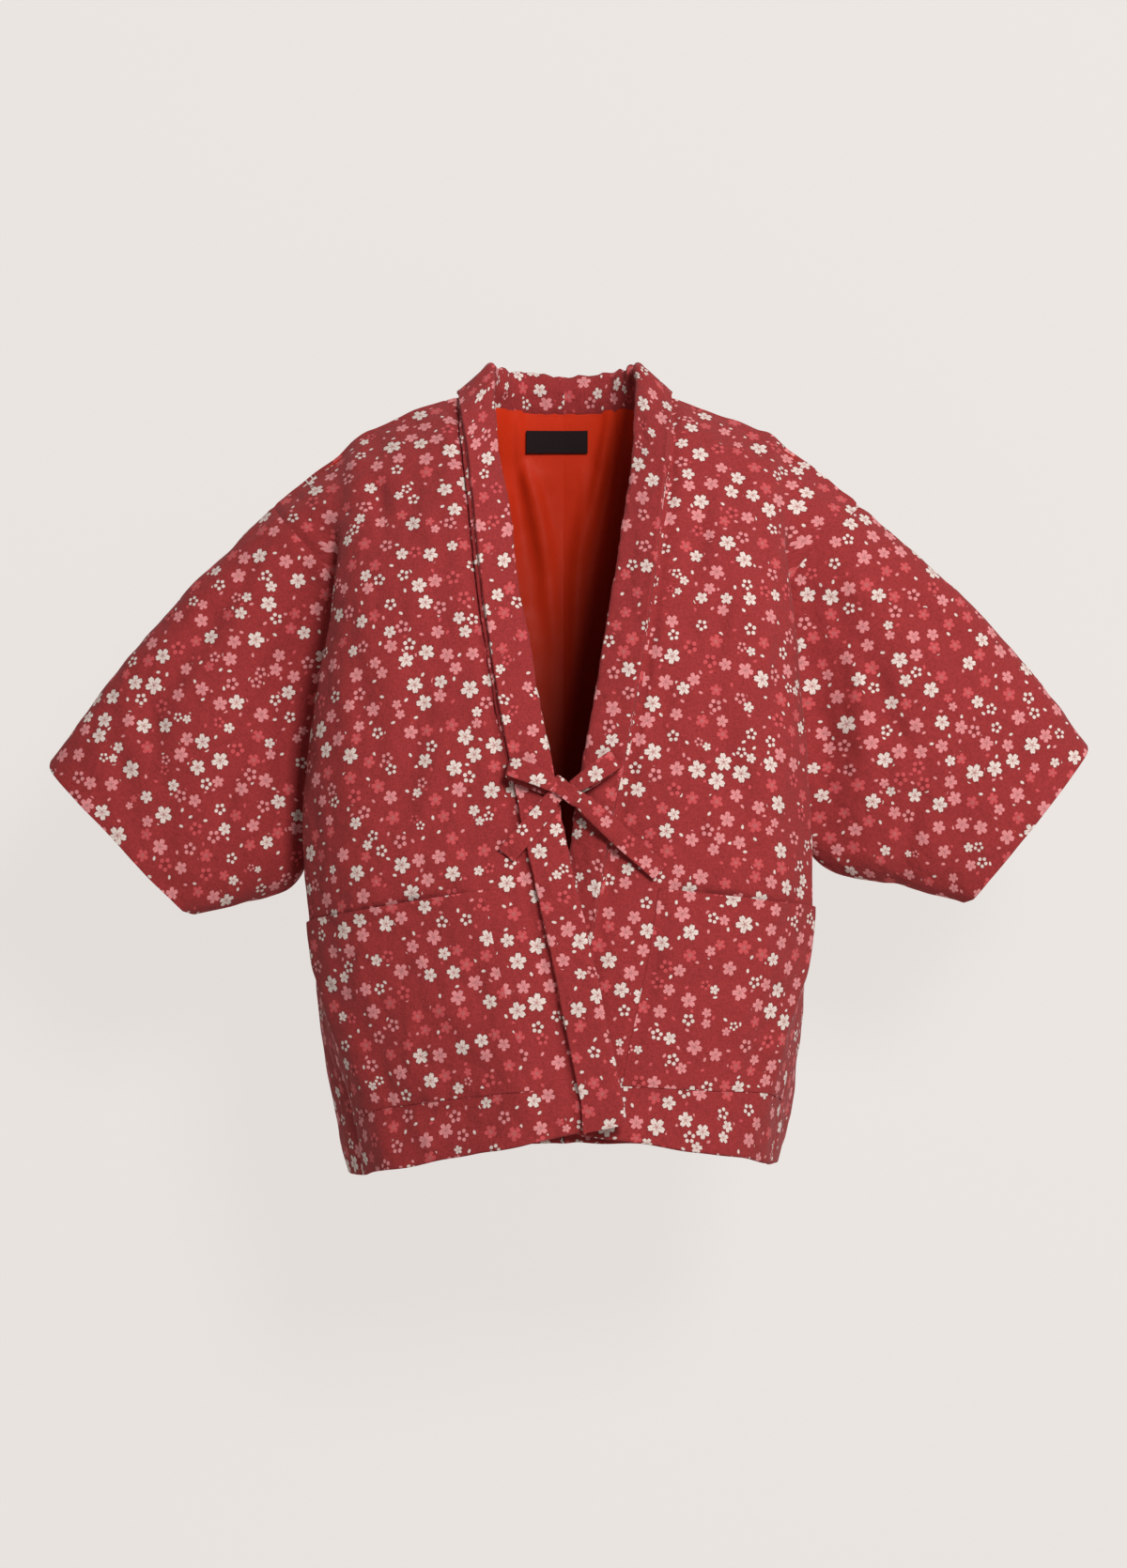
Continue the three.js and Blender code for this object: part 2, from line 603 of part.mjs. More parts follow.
// The back lining hangs just inside the padded wall, in soft upright folds, and is joined at the centre.
const LINING = {
  firstRow: 0.15,
  lastRow: 11,
  lastColumn: 8.5,
  step: 0.5,
  foldTurn: 2.1,    // radians of ripple to a section across
  foldDrift: 0.8,   // how fast the ripple wanders on the way down
  foldStart: 2,
};
function liningPoint(side, across, down, depth) {
  const { point, normal } = onSheet(`back_${sideName(side)}`, across, down);
  if (across === 0) {
    point.setX(side * SEAM_GAP / 2);
    normal.setX(0).normalize();
  }
  const wander = 0.5 * Math.sin(down * LINING.foldDrift + across);
  const ripple = 0.5 + 0.5 * Math.cos(side * across * LINING.foldTurn + wander);
  const fromTop = Math.min(1, down / LINING.foldStart);
  const fromSide = Math.min(1, (LINING.lastColumn - across) / LINING.foldStart);
  const fold = LINING_FOLD * ripple * fromTop * fromSide;
  return point.addScaledVector(normal, -WALL - LINING_CLEARANCE - fold - depth);
}
const nextLine = (down) => LINING.step * (Math.floor(down / LINING.step) + 1);
function liningGeometry(side) {
  const layers = [0, LINING_WALL].map((depth) => {
    const rows = [];
    for (let down = LINING.firstRow; down <= LINING.lastRow; down = nextLine(down)) {
      const row = [];
      for (let across = 0; across <= LINING.lastColumn; across += LINING.step) {
        row.push(liningPoint(side, across, down, depth));
      }
      rows.push(row);
    }
    return rows;
  });
  return wallGeometry(layers[0], layers[1]);
}

// The label is a flat strip just inside the lining, below the neck seam.
function labelGeometry() {
  const layers = [0, LABEL.wall].map((depth) => [LABEL.top, LABEL.bottom].map((z) =>
    Array.from({ length: LABEL.columns + 1 }, (_, j) => {
      const x = mix(LABEL.right, LABEL.left, j / LABEL.columns);
      const bowed = LABEL_PLANE.bow * (x / LABEL.left) ** 2;
      const y = LABEL_PLANE.y + (LABEL.top - z) * LABEL_PLANE.slope - bowed;
      return vec(x, y - depth, z);
    })));
  return wallGeometry(layers[0], layers[1]);
}

// A flat ribbon along a path. Each station gives its middle, and the direction across it.
function ribbonGeometry(stations) {
  const middles = stations.map((s) => vec(s.x, s.y, s.z));
  const rings = middles.map((middle, i) => {
    const along = middles[Math.min(i + 1, middles.length - 1)].clone()
      .sub(middles[Math.max(i - 1, 0)]).normalize();
    const across = vec(stations[i].acrossX, stations[i].acrossY, stations[i].acrossZ);
    across.addScaledVector(along, -across.dot(along)).setLength(stations[i].width / 2);
    const up = along.clone().cross(across).setLength(RIBBON.wall / 2);
    return [[1, 1], [-1, 1], [-1, -1], [1, -1]].map(([a, b]) =>
      middle.clone().addScaledVector(across, a).addScaledVector(up, b));
  });
  return tubeGeometry(rings);
}

const RIBBON_NAMES = ['x', 'y', 'z', 'acrossX', 'acrossY', 'acrossZ', 'width'];
const RIBBONS = {
  tie_tail_right: table(RIBBON_NAMES, [
    [-10.5, -144.5, -373, 0.75, 0, -0.66, 13],
    [-18, -143.5, -384, 0.7, 0.05, -0.7, 17],
    [-29, -145.5, -397, 0.7, 0.05, -0.7, RIBBON.width],
    [-41, -149.5, -411, 0.7, 0.05, -0.7, RIBBON.width],
    [-53, -149, -425, 0.7, 0.05, -0.7, RIBBON.width],
  ]),
  tie_tail_left: table(RIBBON_NAMES, [
    [14.5, -144.5, -373, 0.7, 0, 0.7, 13],
    [27, -146, -384, 0.62, 0, 0.78, 17],
    [41, -145.5, -397, 0.62, 0.05, 0.78, RIBBON.width],
    [56, -141.5, -411, 0.62, 0.1, 0.78, RIBBON.width],
    [72, -138.5, -425, 0.62, 0.1, 0.78, RIBBON.width],
    [90, -136.5, -441, 0.62, 0.1, 0.78, RIBBON.width],
  ]),
  tie_loop_right: table(RIBBON_NAMES, [
    [-10.2, -147.5, -360, 0.3, 0.1, 0.95, 13],
    [-22, -151, -353, 0.35, 0.15, 0.93, 17],
    [-37, -150, -347, 0.35, 0.2, 0.93, RIBBON.width],
    [-48, -147, -343, 0.3, 0.25, 0.93, RIBBON.width],
    [-51, -143.5, -343, 0.25, 0.2, 0.95, RIBBON.width],
    [-47, -140.5, -346, 0.25, 0.05, 0.97, RIBBON.width],
    [-35, -140.5, -352, 0.3, 0, 0.95, RIBBON.width],
    [-22, -141.2, -359, 0.3, 0, 0.95, 16],
    [-10.2, -141.2, -366, 0.3, 0, 0.95, 12],
  ]),
  tie_loop_left: table(RIBBON_NAMES, [
    [14.8, -147.5, -359, -0.5, 0.1, 0.87, 13],
    [24, -150.5, -352, -0.5, 0.15, 0.87, 17],
    [36, -149.5, -344, -0.5, 0.2, 0.87, RIBBON.width],
    [45, -146.5, -338, -0.5, 0.25, 0.87, RIBBON.width],
    [48, -143.5, -337, -0.5, 0.2, 0.87, RIBBON.width],
    [44, -141, -340, -0.5, 0.05, 0.87, RIBBON.width],
    [34, -140.6, -347, -0.5, 0, 0.87, RIBBON.width],
    [24, -141.2, -355, -0.5, 0, 0.87, 16],
    [14.9, -141.2, -364, -0.5, 0, 0.87, 12],
  ]),
};

// The knot is a soft, slightly flattened lump.
function knotGeometry() {
  const geometry = new THREE.SphereGeometry(0.5, KNOT.around, KNOT.rings);
  geometry.scale(KNOT.width, KNOT.depth, KNOT.height);
  return geometry;
}

// Colours and finishes
const cloth = { color: 0xa23c3d, roughness: 0.92, metalness: 0 };
const padded = { color: 0xa8423f, roughness: 0.92, metalness: 0 };
const satin = { color: 0xcc4834, roughness: 0.5, metalness: 0 };
const woven = { color: 0x1f1314, roughness: 0.85, metalness: 0 };

const group = new THREE.Group();
function addPiece(name, geometry, finish) {
  const piece = new THREE.Mesh(geometry, new THREE.MeshStandardMaterial(finish));
  piece.name = name;
  group.add(piece);
  return piece;
}

for (const side of [RIGHT, LEFT]) {
  for (const part of ['front', 'back', 'side_gusset', 'sleeve']) {
    addPiece(`${part}_${sideName(side)}`, clothWall(`${part}_${sideName(side)}`), cloth);
  }
  addPiece(`collar_${sideName(side)}`, bandGeometry(`collar_${sideName(side)}`), padded);
  addPiece(`pocket_${sideName(side)}`, pocketGeometry(side), cloth);
  addPiece(`lining_back_${sideName(side)}`, liningGeometry(side), satin);
}
addPiece('label', labelGeometry(), woven);
for (const [name, stations] of Object.entries(RIBBONS)) addPiece(name, ribbonGeometry(stations), cloth);
addPiece('tie_knot', knotGeometry(), cloth).position.set(KNOT.x, KNOT.y, KNOT.z);

export default group;
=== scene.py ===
"""The looks of a short padded kimono jacket: printed cotton over wadding, a satin lining and a bow tie.

The pieces follow the same sections as the jacket's solids, drawn finer, with seams, creases and print.
Sections are in millimetres, and meshes in metres. The fronts face -Y, and the wearer's right is at -X.
"""

import math

import bmesh
import bpy
import numpy as np
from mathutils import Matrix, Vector, kdtree, noise


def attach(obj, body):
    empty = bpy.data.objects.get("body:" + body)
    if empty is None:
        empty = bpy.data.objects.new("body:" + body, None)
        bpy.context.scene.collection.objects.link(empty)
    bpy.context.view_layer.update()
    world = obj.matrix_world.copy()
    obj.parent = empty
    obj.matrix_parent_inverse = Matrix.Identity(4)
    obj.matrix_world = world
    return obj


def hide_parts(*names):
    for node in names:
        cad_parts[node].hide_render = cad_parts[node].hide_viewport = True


bl_info = {
    "name": "Padded kimono jacket",
    "version": (1, 0, 0),
    "blender": (4, 5, 0),
    "location": "View3D > Sidebar > Jacket",
    "description": "Dresses a padded kimono jacket in printed cotton",
    "category": "Object",
}

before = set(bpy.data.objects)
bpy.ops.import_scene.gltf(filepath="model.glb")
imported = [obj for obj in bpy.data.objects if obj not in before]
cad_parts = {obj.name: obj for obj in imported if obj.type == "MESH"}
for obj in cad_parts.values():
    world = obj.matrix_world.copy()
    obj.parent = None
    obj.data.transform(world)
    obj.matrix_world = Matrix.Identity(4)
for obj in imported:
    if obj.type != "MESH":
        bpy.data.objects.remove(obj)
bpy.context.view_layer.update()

MM = 0.001
RIGHT, LEFT = -1, 1
SIDES = {RIGHT: "right", LEFT: "left"}

# How finely each section is drawn
DOWN = 14
ACROSS = 10
GUSSET_ACROSS = 16
SLEEVE_ALONG = 20
BAND_ROUND = 4
LINING_DOWN = 10
LINING_ACROSS = 12
POCKET_COLUMNS = 56
POCKET_ROWS = 52
RIBBON_AROUND = 20
RIBBON_STEPS = 7

# Sizes of the garment, in millimetres
WALL = 5.7
COLLAR_BULGE = 5.0
COLLAR_BACKING = 1.0
POCKET_WALL = 0.7
POCKET_CLEARANCE = 0.2
SHOULDER_RISE = 4.0
UNDERARM_ROW = 7
GUSSET_DROP = 2.0
CUFF_ROUND = {"length": 6.0, "turn": 0.22, "reach": 14.0}
ROOT_TURN = 0.96
SECTION_POWER = 0.8
FACING = 45.0
RIBBON_WALL = 2.2
# Which way a sleeve hangs: outwards and down
SLEEVE_HANG = (0.64, -0.77)


def table(names, rows):
    """A list of rows, each a dict with the given column names."""
    return [dict(zip(names.split(), row)) for row in rows]


# The band collar's two edges, from the neck point down to the hem
BAND = table("seam_right seam_left seam_y seam_z free_right free_left free_y free_z tuck_left lift", [
    [100, 103, 10, 18, 66, 69, 26, 46.5, 0, 0],
    [97, 103, -36, -15, 66, 69, -12, 0, 0, 0],
    [91, 99, -66, -60, 61, 66, -45, -51, 0, 0],
    [85, 92, -92, -112, 51, 58, -74, -104, 0, 0],
    [78, 85, -111, -170, 44, 49, -96, -163, 0, 0],
    [69, 75, -122, -235, 32, 38, -110, -228, 0, 0],
    [57, 63, -128, -305, 19, 26, -119, -298, 0, 0],
    [43, 49, -131, -378, 5, 12, -126, -371, 4, 4],
    [27, 36, -133, -450, -9, 4, -131, -443, 12, 14],
    [11, 24, -136, -520, -26, -12, -135, -513, 4, 15],
    [-3, 12, -138, -590, -41, -26, -138, -583, 0, 15],
    [-14, 3, -139, -645, -53, -37, -139, -638, 0, 15],
    [-18, -3, -140, -683, -59, -43, -140, -674, 0, 15],
])

# The same band from the neck point round to the centre back
NECK = table("seam_x seam_y seam_z free_x free_y free_z", [
    [87, 54, 13, 67, 54, 50],
    [46, 86, 9, 46, 77, 48],
    [0, 92, 8, 0, 84, 44],
])

# Front sections from shoulder to hem: fold edge, the valley behind it, and the armhole or side seam
FRONT = table("edge_x lean drop edge_y edge_z turn valley_x valley_y seam_x seam_y seam_z", [
    [202.5, -3, 0, 10, -23, 0, 246, 10, 285, 10, -89],
    [204, 0, 0, -28, -58, 0.3, 238, -22, 268, -20, -108],
    [208, 1, 0, -48, -95, 0.6, 226, -36, 246, -31, -130],
    [212.5, 1.5, 0, -60, -138, 0.85, 211, -38, 223, -32, -158],
    [219.5, 1, 0, -67, -190, 1, 211, -41, 215, -28, -205],
    [227.5, 3, 0, -69, -252, 1, 218, -42, 215, -26, -260],
    [235, 6, 0, -69, -320, 1, 225, -42, 219, -24, -326],
    [240.5, 6, 0, -67, -392, 1, 232, -40, 225, -22, -396],
    [238.5, 4, 0, -66, -460, 1, 236, -44, 230, -27, -463],
    [230.5, 3, 0, -68, -530, 0.9, 231.5, -53, 230, -38, -533],
    [206, 2, 0, -88, -598, 0.5, 215, -68, 220, -47, -603],
    [184, -3, 2, -97, -657, 0.25, 198, -74, 206, -50, -666],
    [167, -3, 5, -101, -717, 0.15, 184, -75, 196, -50, -728],
])

# Back sections below the shoulder line, from the centre back seam out
BACK = table("centre_y centre_z edge_x edge_y edge_z turn valley_x valley_y seam_x seam_y", [
    [100, -38, 204, 46, -57, 0.3, 238, 42, 268, 38],
    [107, -82, 209, 64, -95, 0.6, 228, 56, 246, 50],
    [110, -130, 215, 74, -138, 0.85, 215, 60, 225, 50],
    [111, -185, 219, 78, -190, 1, 214, 58, 218, 46],
    [110, -248, 224, 78, -252, 1, 220, 58, 218, 44],
    [108, -318, 229, 76, -320, 1, 226, 57, 221, 42],
    [107, -390, 233, 74, -392, 1, 232, 55, 226, 40],
    [109, -458, 233, 74, -460, 1, 235, 56, 231, 42],
    [113, -528, 228, 76, -530, 0.9, 235, 60, 232, 45],
    [119, -598, 207, 92, -600, 0.5, 218, 70, 222, 48],
    [125, -658, 186, 98, -660, 0.25, 199, 74, 206, 50],
    [130, -719, 169, 100, -727, 0.15, 184, 74, 196, 49],
])

# How far out each side gusset stands between its seams, from the underarm down
GUSSET = table("side_right side_left", [
    [230, 218], [240, 229], [241, 234], [234, 229], [223, 222], [208, 207],
])

# Sleeve sections: the folded top, the bottom, and half of the thickness
SLEEVE = table("top_right_x top_right_z low_right_x low_right_z top_left_x top_left_z low_left_x low_left_z "
               "mid_y half_depth", [
    [356, -163, 262, -456, 362, -154, 255, -442, 9, 52],
    [430, -245, 315, -476, 436, -230, 324, -458, 7, 47],
    [500, -342, 363, -486, 511, -324, 392, -475, 4, 37],
])

FRONT_SHARES = [0, 0.3, 0.58, 0.82, 1]
BACK_SHARES = [0, 0.18, 0.34, 0.49, 0.63, 0.77, 0.9, 1]
LIFT_SHARES = [1, 1, 0.35, 0, 0]

# Patch pockets: corners in sections across and down their front
POCKET = {
    RIGHT: {"mouth_in": (0.75, 8.07), "mouth_out": (5.8, 8.6), "low_in": (0.75, 10.9), "low_out": (5.8, 11.25)},
    LEFT: {"mouth_in": (0.9, 8.05), "mouth_out": (5.8, 8.3), "low_in": (0.9, 10.85), "low_out": (5.8, 10.95)},
}

# Soft troughs pressed into each kind of panel, as seen from in front: ends, half width and depth.
# A negative depth is a ridge.
CREASE_NAMES = "side x0 z0 x1 z1 width depth"
CREASES = {
    "front": table(CREASE_NAMES, [
        [LEFT, 101, -35, 97, -160, 8, 5],
        [LEFT, 137, -62, 128, -170, 9, 5],
        [LEFT, 170, -50, 160, -110, 9, 4],
        [LEFT, 190, -95, 183, -190, 8, 3],
        [RIGHT, 180, -60, 172, -125, 9, 5],
        [RIGHT, 140, -40, 150, -130, 10, 2.5],
        [RIGHT, 128, -250, 150, -390, 14, 5],
        [LEFT, 150, -300, 176, -420, 14, 5],
        [RIGHT, 205, -200, 178, -330, 12, 3],
        [RIGHT, 92, -300, 84, -420, 9, 2.5],
        [LEFT, 205, -230, 190, -330, 11, 3],
        [LEFT, 96, -250, 90, -340, 9, 2.5],
        [RIGHT, 225, -496, 105, -466, 7, 10],
        [LEFT, 100, -459, 215, -478, 7, 7],
        [RIGHT, 90, -470, 62, -640, 9, 2.5],
        [LEFT, 92, -480, 60, -640, 8, 3],
        [LEFT, 60, -400, 92, -430, 8, 3],
        [RIGHT, 185, -680, 60, -655, 10, 2.5],
        [LEFT, 60, -650, 170, -680, 9, 2],
        [RIGHT, 45, -640, 20, -690, 7, -3],
        [LEFT, 118, -60, 122, -230, 9, 3.5],
        [LEFT, 152, -150, 140, -290, 10, 3],
        [RIGHT, 112, -110, 120, -250, 10, 2.5],
        [RIGHT, 196, -560, 150, -690, 10, 2.5],
        [LEFT, 190, -560, 168, -690, 9, 2.5],
    ]),
    "back": table(CREASE_NAMES, [
        [RIGHT, 190, -150, 120, -260, 14, 6],
        [LEFT, 188, -140, 110, -240, 14, 6],
        [RIGHT, 150, -330, 170, -560, 16, 6],
        [LEFT, 140, -300, 162, -540, 16, 6],
        [RIGHT, 70, -420, 76, -640, 18, 4],
        [LEFT, 60, -380, 70, -620, 18, 4],
        [RIGHT, 60, -60, 90, -150, 12, 3],
        [LEFT, 64, -70, 84, -160, 12, 3],
        [RIGHT, 110, -500, 128, -690, 13, 3],
        [LEFT, 116, -520, 124, -700, 12, 3],
        [RIGHT, 30, -200, 44, -380, 12, 2.5],
        [LEFT, 36, -240, 30, -360, 12, 2],
    ]),
    "sleeve": table(CREASE_NAMES, [
        [RIGHT, 241, -165, 262, -396, 32, 23],
        [LEFT, 238, -165, 254, -396, 21, 15],
        [LEFT, 344, -350, 322, -455, 10, 6],
        [LEFT, 268, -190, 330, -330, 14, 6],
        [RIGHT, 262, -210, 330, -380, 15, 7],
        [RIGHT, 330, -180, 400, -300, 13, 5],
        [LEFT, 300, -400, 262, -430, 9, 4],
        [LEFT, 395, -300, 372, -430, 13, 3],
        [LEFT, 440, -260, 430, -380, 11, 2.5],
        [RIGHT, 300, -300, 340, -440, 11, 3.5],
        [RIGHT, 400, -250, 380, -400, 12, 3],
        [RIGHT, 440, -290, 400, -430, 10, 2.5],
        [LEFT, 330, -170, 380, -240, 10, 2.5],
        [RIGHT, 290, -130, 350, -230, 11, 3],
        [LEFT, 262, -170, 272, -330, 10, 5],
        [LEFT, 300, -250, 318, -400, 12, 3.5],
    ]),
}
# These run over the shoulder line, where the body's fold begins
SHOULDER_CREASES = table(CREASE_NAMES, [
    [LEFT, 217, -20, 213, -110, 12, 4.5],
    [LEFT, 201, -22, 204, -90, 9, -2],
    [RIGHT, 219, -26, 215, -110, 12, 3],
    [RIGHT, 203, -26, 204, -90, 9, -1.5],
])
CREASE_ENDS = 0.35
# How near to a seam, or to the top of a panel, creases begin to fade
CREASE_FADE = 30
SLEEVE_CREASE_FADE = 20

# The puffed surface of a padded panel: size of the swells, their height, and what seams pull in
SWELL = {"size": 62.0, "height": 2.2, "fine_size": 21.0, "fine_height": 1.3}
PUCKER = {"size": 13.0, "height": 0.8, "reach": 16.0, "start": 3}
SEAM_PINCH = {"depth": 1.5, "reach": 4.0}
SEAM_FADE = 16.0
# The fronts sink beside the band, more on the right
BAND_GROOVE = {"right": 9.0, "left": 6.0, "reach": 9.0, "start": 1.6}
HEM = {"size": 38.0, "height": 1.6, "reach": 22.0, "start": 12}

# The collar's surface: gathers that begin before the shoulder, crinkles and a broad swell
GATHER = {"size": 7, "edges": 0.9, "neck": 3.6, "least": 0.15, "before": 40, "reach": 60}
CRINKLE = {"size": 17, "height": 0.8, "fine_size": 8, "fine_height": 0.4}
COLLAR_SWELL = {"size": 55, "height": 1.1}
# Its ends stay plain, so that they meet their neighbours
COLLAR_ENDS = {"start": 4, "reach": 10}

# A pocket's puffed mouth, and its flat sewn edges with their puckers
POCKET_PUFF = {
    "size": 200, "mouth": 1.8, "lip": 0.2, "edge": 0.8, "edge_reach": 9,
    "pucker": 0.6, "pucker_size": 11, "pucker_reach": 12,
}

RIBBON_NAMES = "x y z across_x across_y across_z width"
RIBBONS = {
    "tie_tail_right": table(RIBBON_NAMES, [
        [-4, -146.5, -367, 0.8, 0, -0.6, 13],
        [-10.5, -145.5, -373, 0.75, 0, -0.66, 15],
        [-18, -144.5, -384, 0.7, 0.05, -0.7, 18],
        [-29, -146, -397, 0.7, 0.05, -0.7, 19],
        [-41, -148, -411, 0.7, 0.05, -0.7, 19],
        [-53, -146, -425, 0.7, 0.05, -0.7, 19],
    ]),
    "tie_tail_left": table(RIBBON_NAMES, [
        [7, -146.5, -367, 0.7, 0, 0.7, 13],
        [14.5, -145.5, -373, 0.7, 0, 0.7, 15],
        [27, -146.5, -384, 0.62, 0, 0.78, 18],
        [41, -145.5, -397, 0.62, 0.05, 0.78, 19],
        [56, -141.4, -411, 0.62, 0.1, 0.78, 19],
        [72, -138.6, -425, 0.62, 0.1, 0.78, 19],
        [90, -136.6, -441, 0.62, 0.1, 0.78, 19],
    ]),
    "tie_loop_right": table(RIBBON_NAMES, [
        [-6, -148, -362, 0.3, 0.1, 0.95, 13],
        [-22, -151, -353, 0.35, 0.15, 0.93, 17],
        [-37, -150, -347, 0.35, 0.2, 0.93, 19],
        [-48, -147, -343, 0.3, 0.25, 0.93, 19],
        [-51, -143.5, -343, 0.25, 0.2, 0.95, 19],
        [-47, -140.8, -346, 0.25, 0.05, 0.97, 19],
        [-35, -141, -352, 0.3, 0, 0.95, 19],
        [-22, -141.8, -359, 0.3, 0, 0.95, 16],
        [-6, -142, -367, 0.3, 0, 0.95, 12],
    ]),
    "tie_loop_left": table(RIBBON_NAMES, [
        [9, -148, -362, -0.5, 0.1, 0.87, 13],
        [24, -150.5, -352, -0.5, 0.15, 0.87, 17],
        [36, -149.5, -344, -0.5, 0.2, 0.87, 19],
        [45, -146.5, -338, -0.5, 0.25, 0.87, 19],
        [48, -143.5, -337, -0.5, 0.2, 0.87, 19],
        [44, -141.2, -340, -0.5, 0.05, 0.87, 19],
        [34, -141, -347, -0.5, 0, 0.87, 19],
        [24, -141.6, -355, -0.5, 0, 0.87, 16],
        [9, -142, -365, -0.5, 0, 0.87, 12],
    ]),
    "tie_knot": table(RIBBON_NAMES, [
        [-10, -145, -356, 0.6, 0.1, 0.8, 15],
        [-6, -149, -359, 0.6, 0.1, 0.8, 16],
        [2, -150.6, -365, 0.6, 0, 0.8, 15],
        [10, -149, -371, 0.6, 0, 0.8, 16],
        [14, -145, -374, 0.6, 0, 0.8, 15],
    ]),
}

# The satin lining of the back: how far it reaches in sections, and its sizes in millimetres
LINING = {"last": 11.0, "columns": 8.5, "clearance": 0.4, "wall": 1.1, "fold": 2.5, "most": 9.0, "tuck": 3.0}
# Folds of the lining stand towards the viewer and fan in as they go down
LINING_FOLDS = table("side top_x low_x top_z low_z width depth", [
    [RIGHT, 46, 10, -2, -170, 7, 7],
    [RIGHT, 66, 34, -8, -280, 9, 6],
    [RIGHT, 26, 5, -62, -260, 7, 4],
    [RIGHT, 86, 66, -80, -380, 10, 4],
    [LEFT, 47, 13, -2, -160, 6.5, 7],
    [LEFT, 62, 30, -8, -250, 8, 5.5],
    [LEFT, 20, 6, -66, -280, 7, 3.5],
    [LEFT, 82, 60, -60, -380, 10, 4.5],
])

# Label: a flat strip just inside the lining
LABEL = {
    "left": 24, "right": -37, "top": -9, "bottom": -31, "y": 85.2, "slope": 0.16, "bow": 1.0,
    "wall": 0.9, "round": 0.25, "rib": 0.9,
}
# The lining lies flat behind it: half the width that is flat, and how fast folds begin beside and below
LABEL_REST = {"half": 33, "beside": 8, "below": 20}

# Where each piece was cut from the printed cloth, in metres, so that no two show the same blossoms
CUT_ORDER = (
    "front_right front_left back_right back_left side_gusset_right side_gusset_left sleeve_right "
    "sleeve_left collar_right collar_left pocket_right pocket_left tie_tail_right tie_tail_left "
    "tie_loop_right tie_loop_left tie_knot lining_back_right lining_back_left label"
).split()
BOLT = {name: (3 * k - max(k - 12, 0), k) for k, name in enumerate(CUT_ORDER)}

# The photograph's height in pixels, its scale, and the height of its middle in metres
PHOTO = {"tall": 1670, "pixels_per_mm": 1.1, "middle_z": -0.359}
# The stage in metres, and the camera's sensor and far limit
STAGE = {"size": 5.0, "floor_y": -2.0, "floor_z": -1.32, "wall_y": 0.34, "sensor": 36, "clip": 50}


def mix(a, b, share):
    return a + (b - a) * share


def spline_weights(count, places):
    """Uniform Catmull-Rom weights: a row for each place, a column for each of count points."""
    weights = np.zeros((len(places), count))
    for k, place in enumerate(places):
        i = min(int(place), count - 2)
        f = place - i
        parts = (
            -0.5 * f + f * f - 0.5 * f**3,
            1 - 2.5 * f * f + 1.5 * f**3,
            0.5 * f + 2 * f * f - 1.5 * f**3,
            -0.5 * f * f + 0.5 * f**3,
        )
        for j, weight in zip(range(i - 1, i + 3), parts):
            if j < 0:
                weights[k, 0] += 2 * weight
                weights[k, 1] -= weight
            elif j > count - 1:
                weights[k, count - 1] += 2 * weight
                weights[k, count - 2] -= weight
            else:
                weights[k, j] += weight
    return weights


NECK_COLUMNS = len(NECK) * ACROSS


def places(sections, steps):
    return np.linspace(0, sections, sections * steps + 1)


def section_weights(count, steps):
    return spline_weights(count, places(count - 1, steps))


def surface(control, down, across):
    """A fine grid through control sections, as rows by columns by x, y, z."""
    control = np.array(control, float)
    rows = section_weights(len(control), down)
    columns = section_weights(len(control[0]), across)
    return np.einsum("vr,rck,uc->vuk", rows, control, columns)


def bow(share, turn):
    """From the middle of a panel (1) to its fold edge (0), gently bowed or turned right round."""
    return mix(1 - share**2.4, math.sqrt(1 - share**2.6), turn)


def band_point(side, row, edge):
    """A point of the band's seam or of its free edge: the right side lies on top, the left tucks under."""
    x, y, z = (row[f"{edge}_{key}"] for key in (SIDES[side], "y", "z"))
    if side == RIGHT:
        return np.array([-x, y - row["lift"], z], float)
    return np.array([x, y + row["tuck_left"] * (edge == "free"), z], float)


def outer_points(side, row, hang):
    """The outer end of a front or back section: fold edge, valley and seam."""
    out, down = (hang["lean"], -hang["drop"]) if side == RIGHT else (-hang["lean"], hang["drop"])
    heights = {"edge": row["edge_z"], "valley": (row["edge_z"] + hang["seam_z"]) / 2, "seam": hang["seam_z"]}
    return [
        np.array([side * (row[f"{end}_x"] + out), row[f"{end}_y"], z + down]) for end, z in heights.items()
    ]


def front_control(side):
    rows = []
    for k, row in enumerate(FRONT):
        band = band_point(side, BAND[k], "seam")
        edge, valley, seam = outer_points(side, row, row)
        lift = BAND[k]["lift"] if side == RIGHT else 0
        rise = SHOULDER_RISE if side == RIGHT and k == 0 else 0
        chest = []
        for share, lifted in zip(FRONT_SHARES, LIFT_SHARES):
            y = edge[1] + (BAND[k]["seam_y"] - edge[1]) * bow(share, row["turn"]) - lift * lifted
            z = mix(band[2], edge[2], share) + rise * math.sin(math.pi * share)
            chest.append([mix(band[0], edge[0], share), y, z])
        rows.append([*chest, valley, seam])
    return rows


def back_control(side):
    neck = [[side * row["seam_x"], row["seam_y"], row["seam_z"]] for row in reversed(NECK)]
    rows = [[*neck, *front_control(side)[0]]]
    for k, row in enumerate(BACK):
        edge, valley, seam = outer_points(side, row, FRONT[k + 1])
        panel = [
            [
                edge[0] * share,
                edge[1] + (row["centre_y"] - edge[1]) * bow(share, row["turn"]),
                mix(row["centre_z"], edge[2], share * share),
            ]
            for share in BACK_SHARES
        ]
        rows.append([*panel, valley, seam])
    return rows


def grid_normals(grid, sign, closed=False):
    """Unit normals of a grid, which point out of the garment."""
    if closed:
        across = np.roll(grid, -1, axis=1) - np.roll(grid, 1, axis=1)
    else:
        across = np.gradient(grid, axis=1)
    normals = np.cross(across, np.gradient(grid, axis=0)) * sign
    return normals / np.maximum(np.linalg.norm(normals, axis=2, keepdims=True), 1e-9)


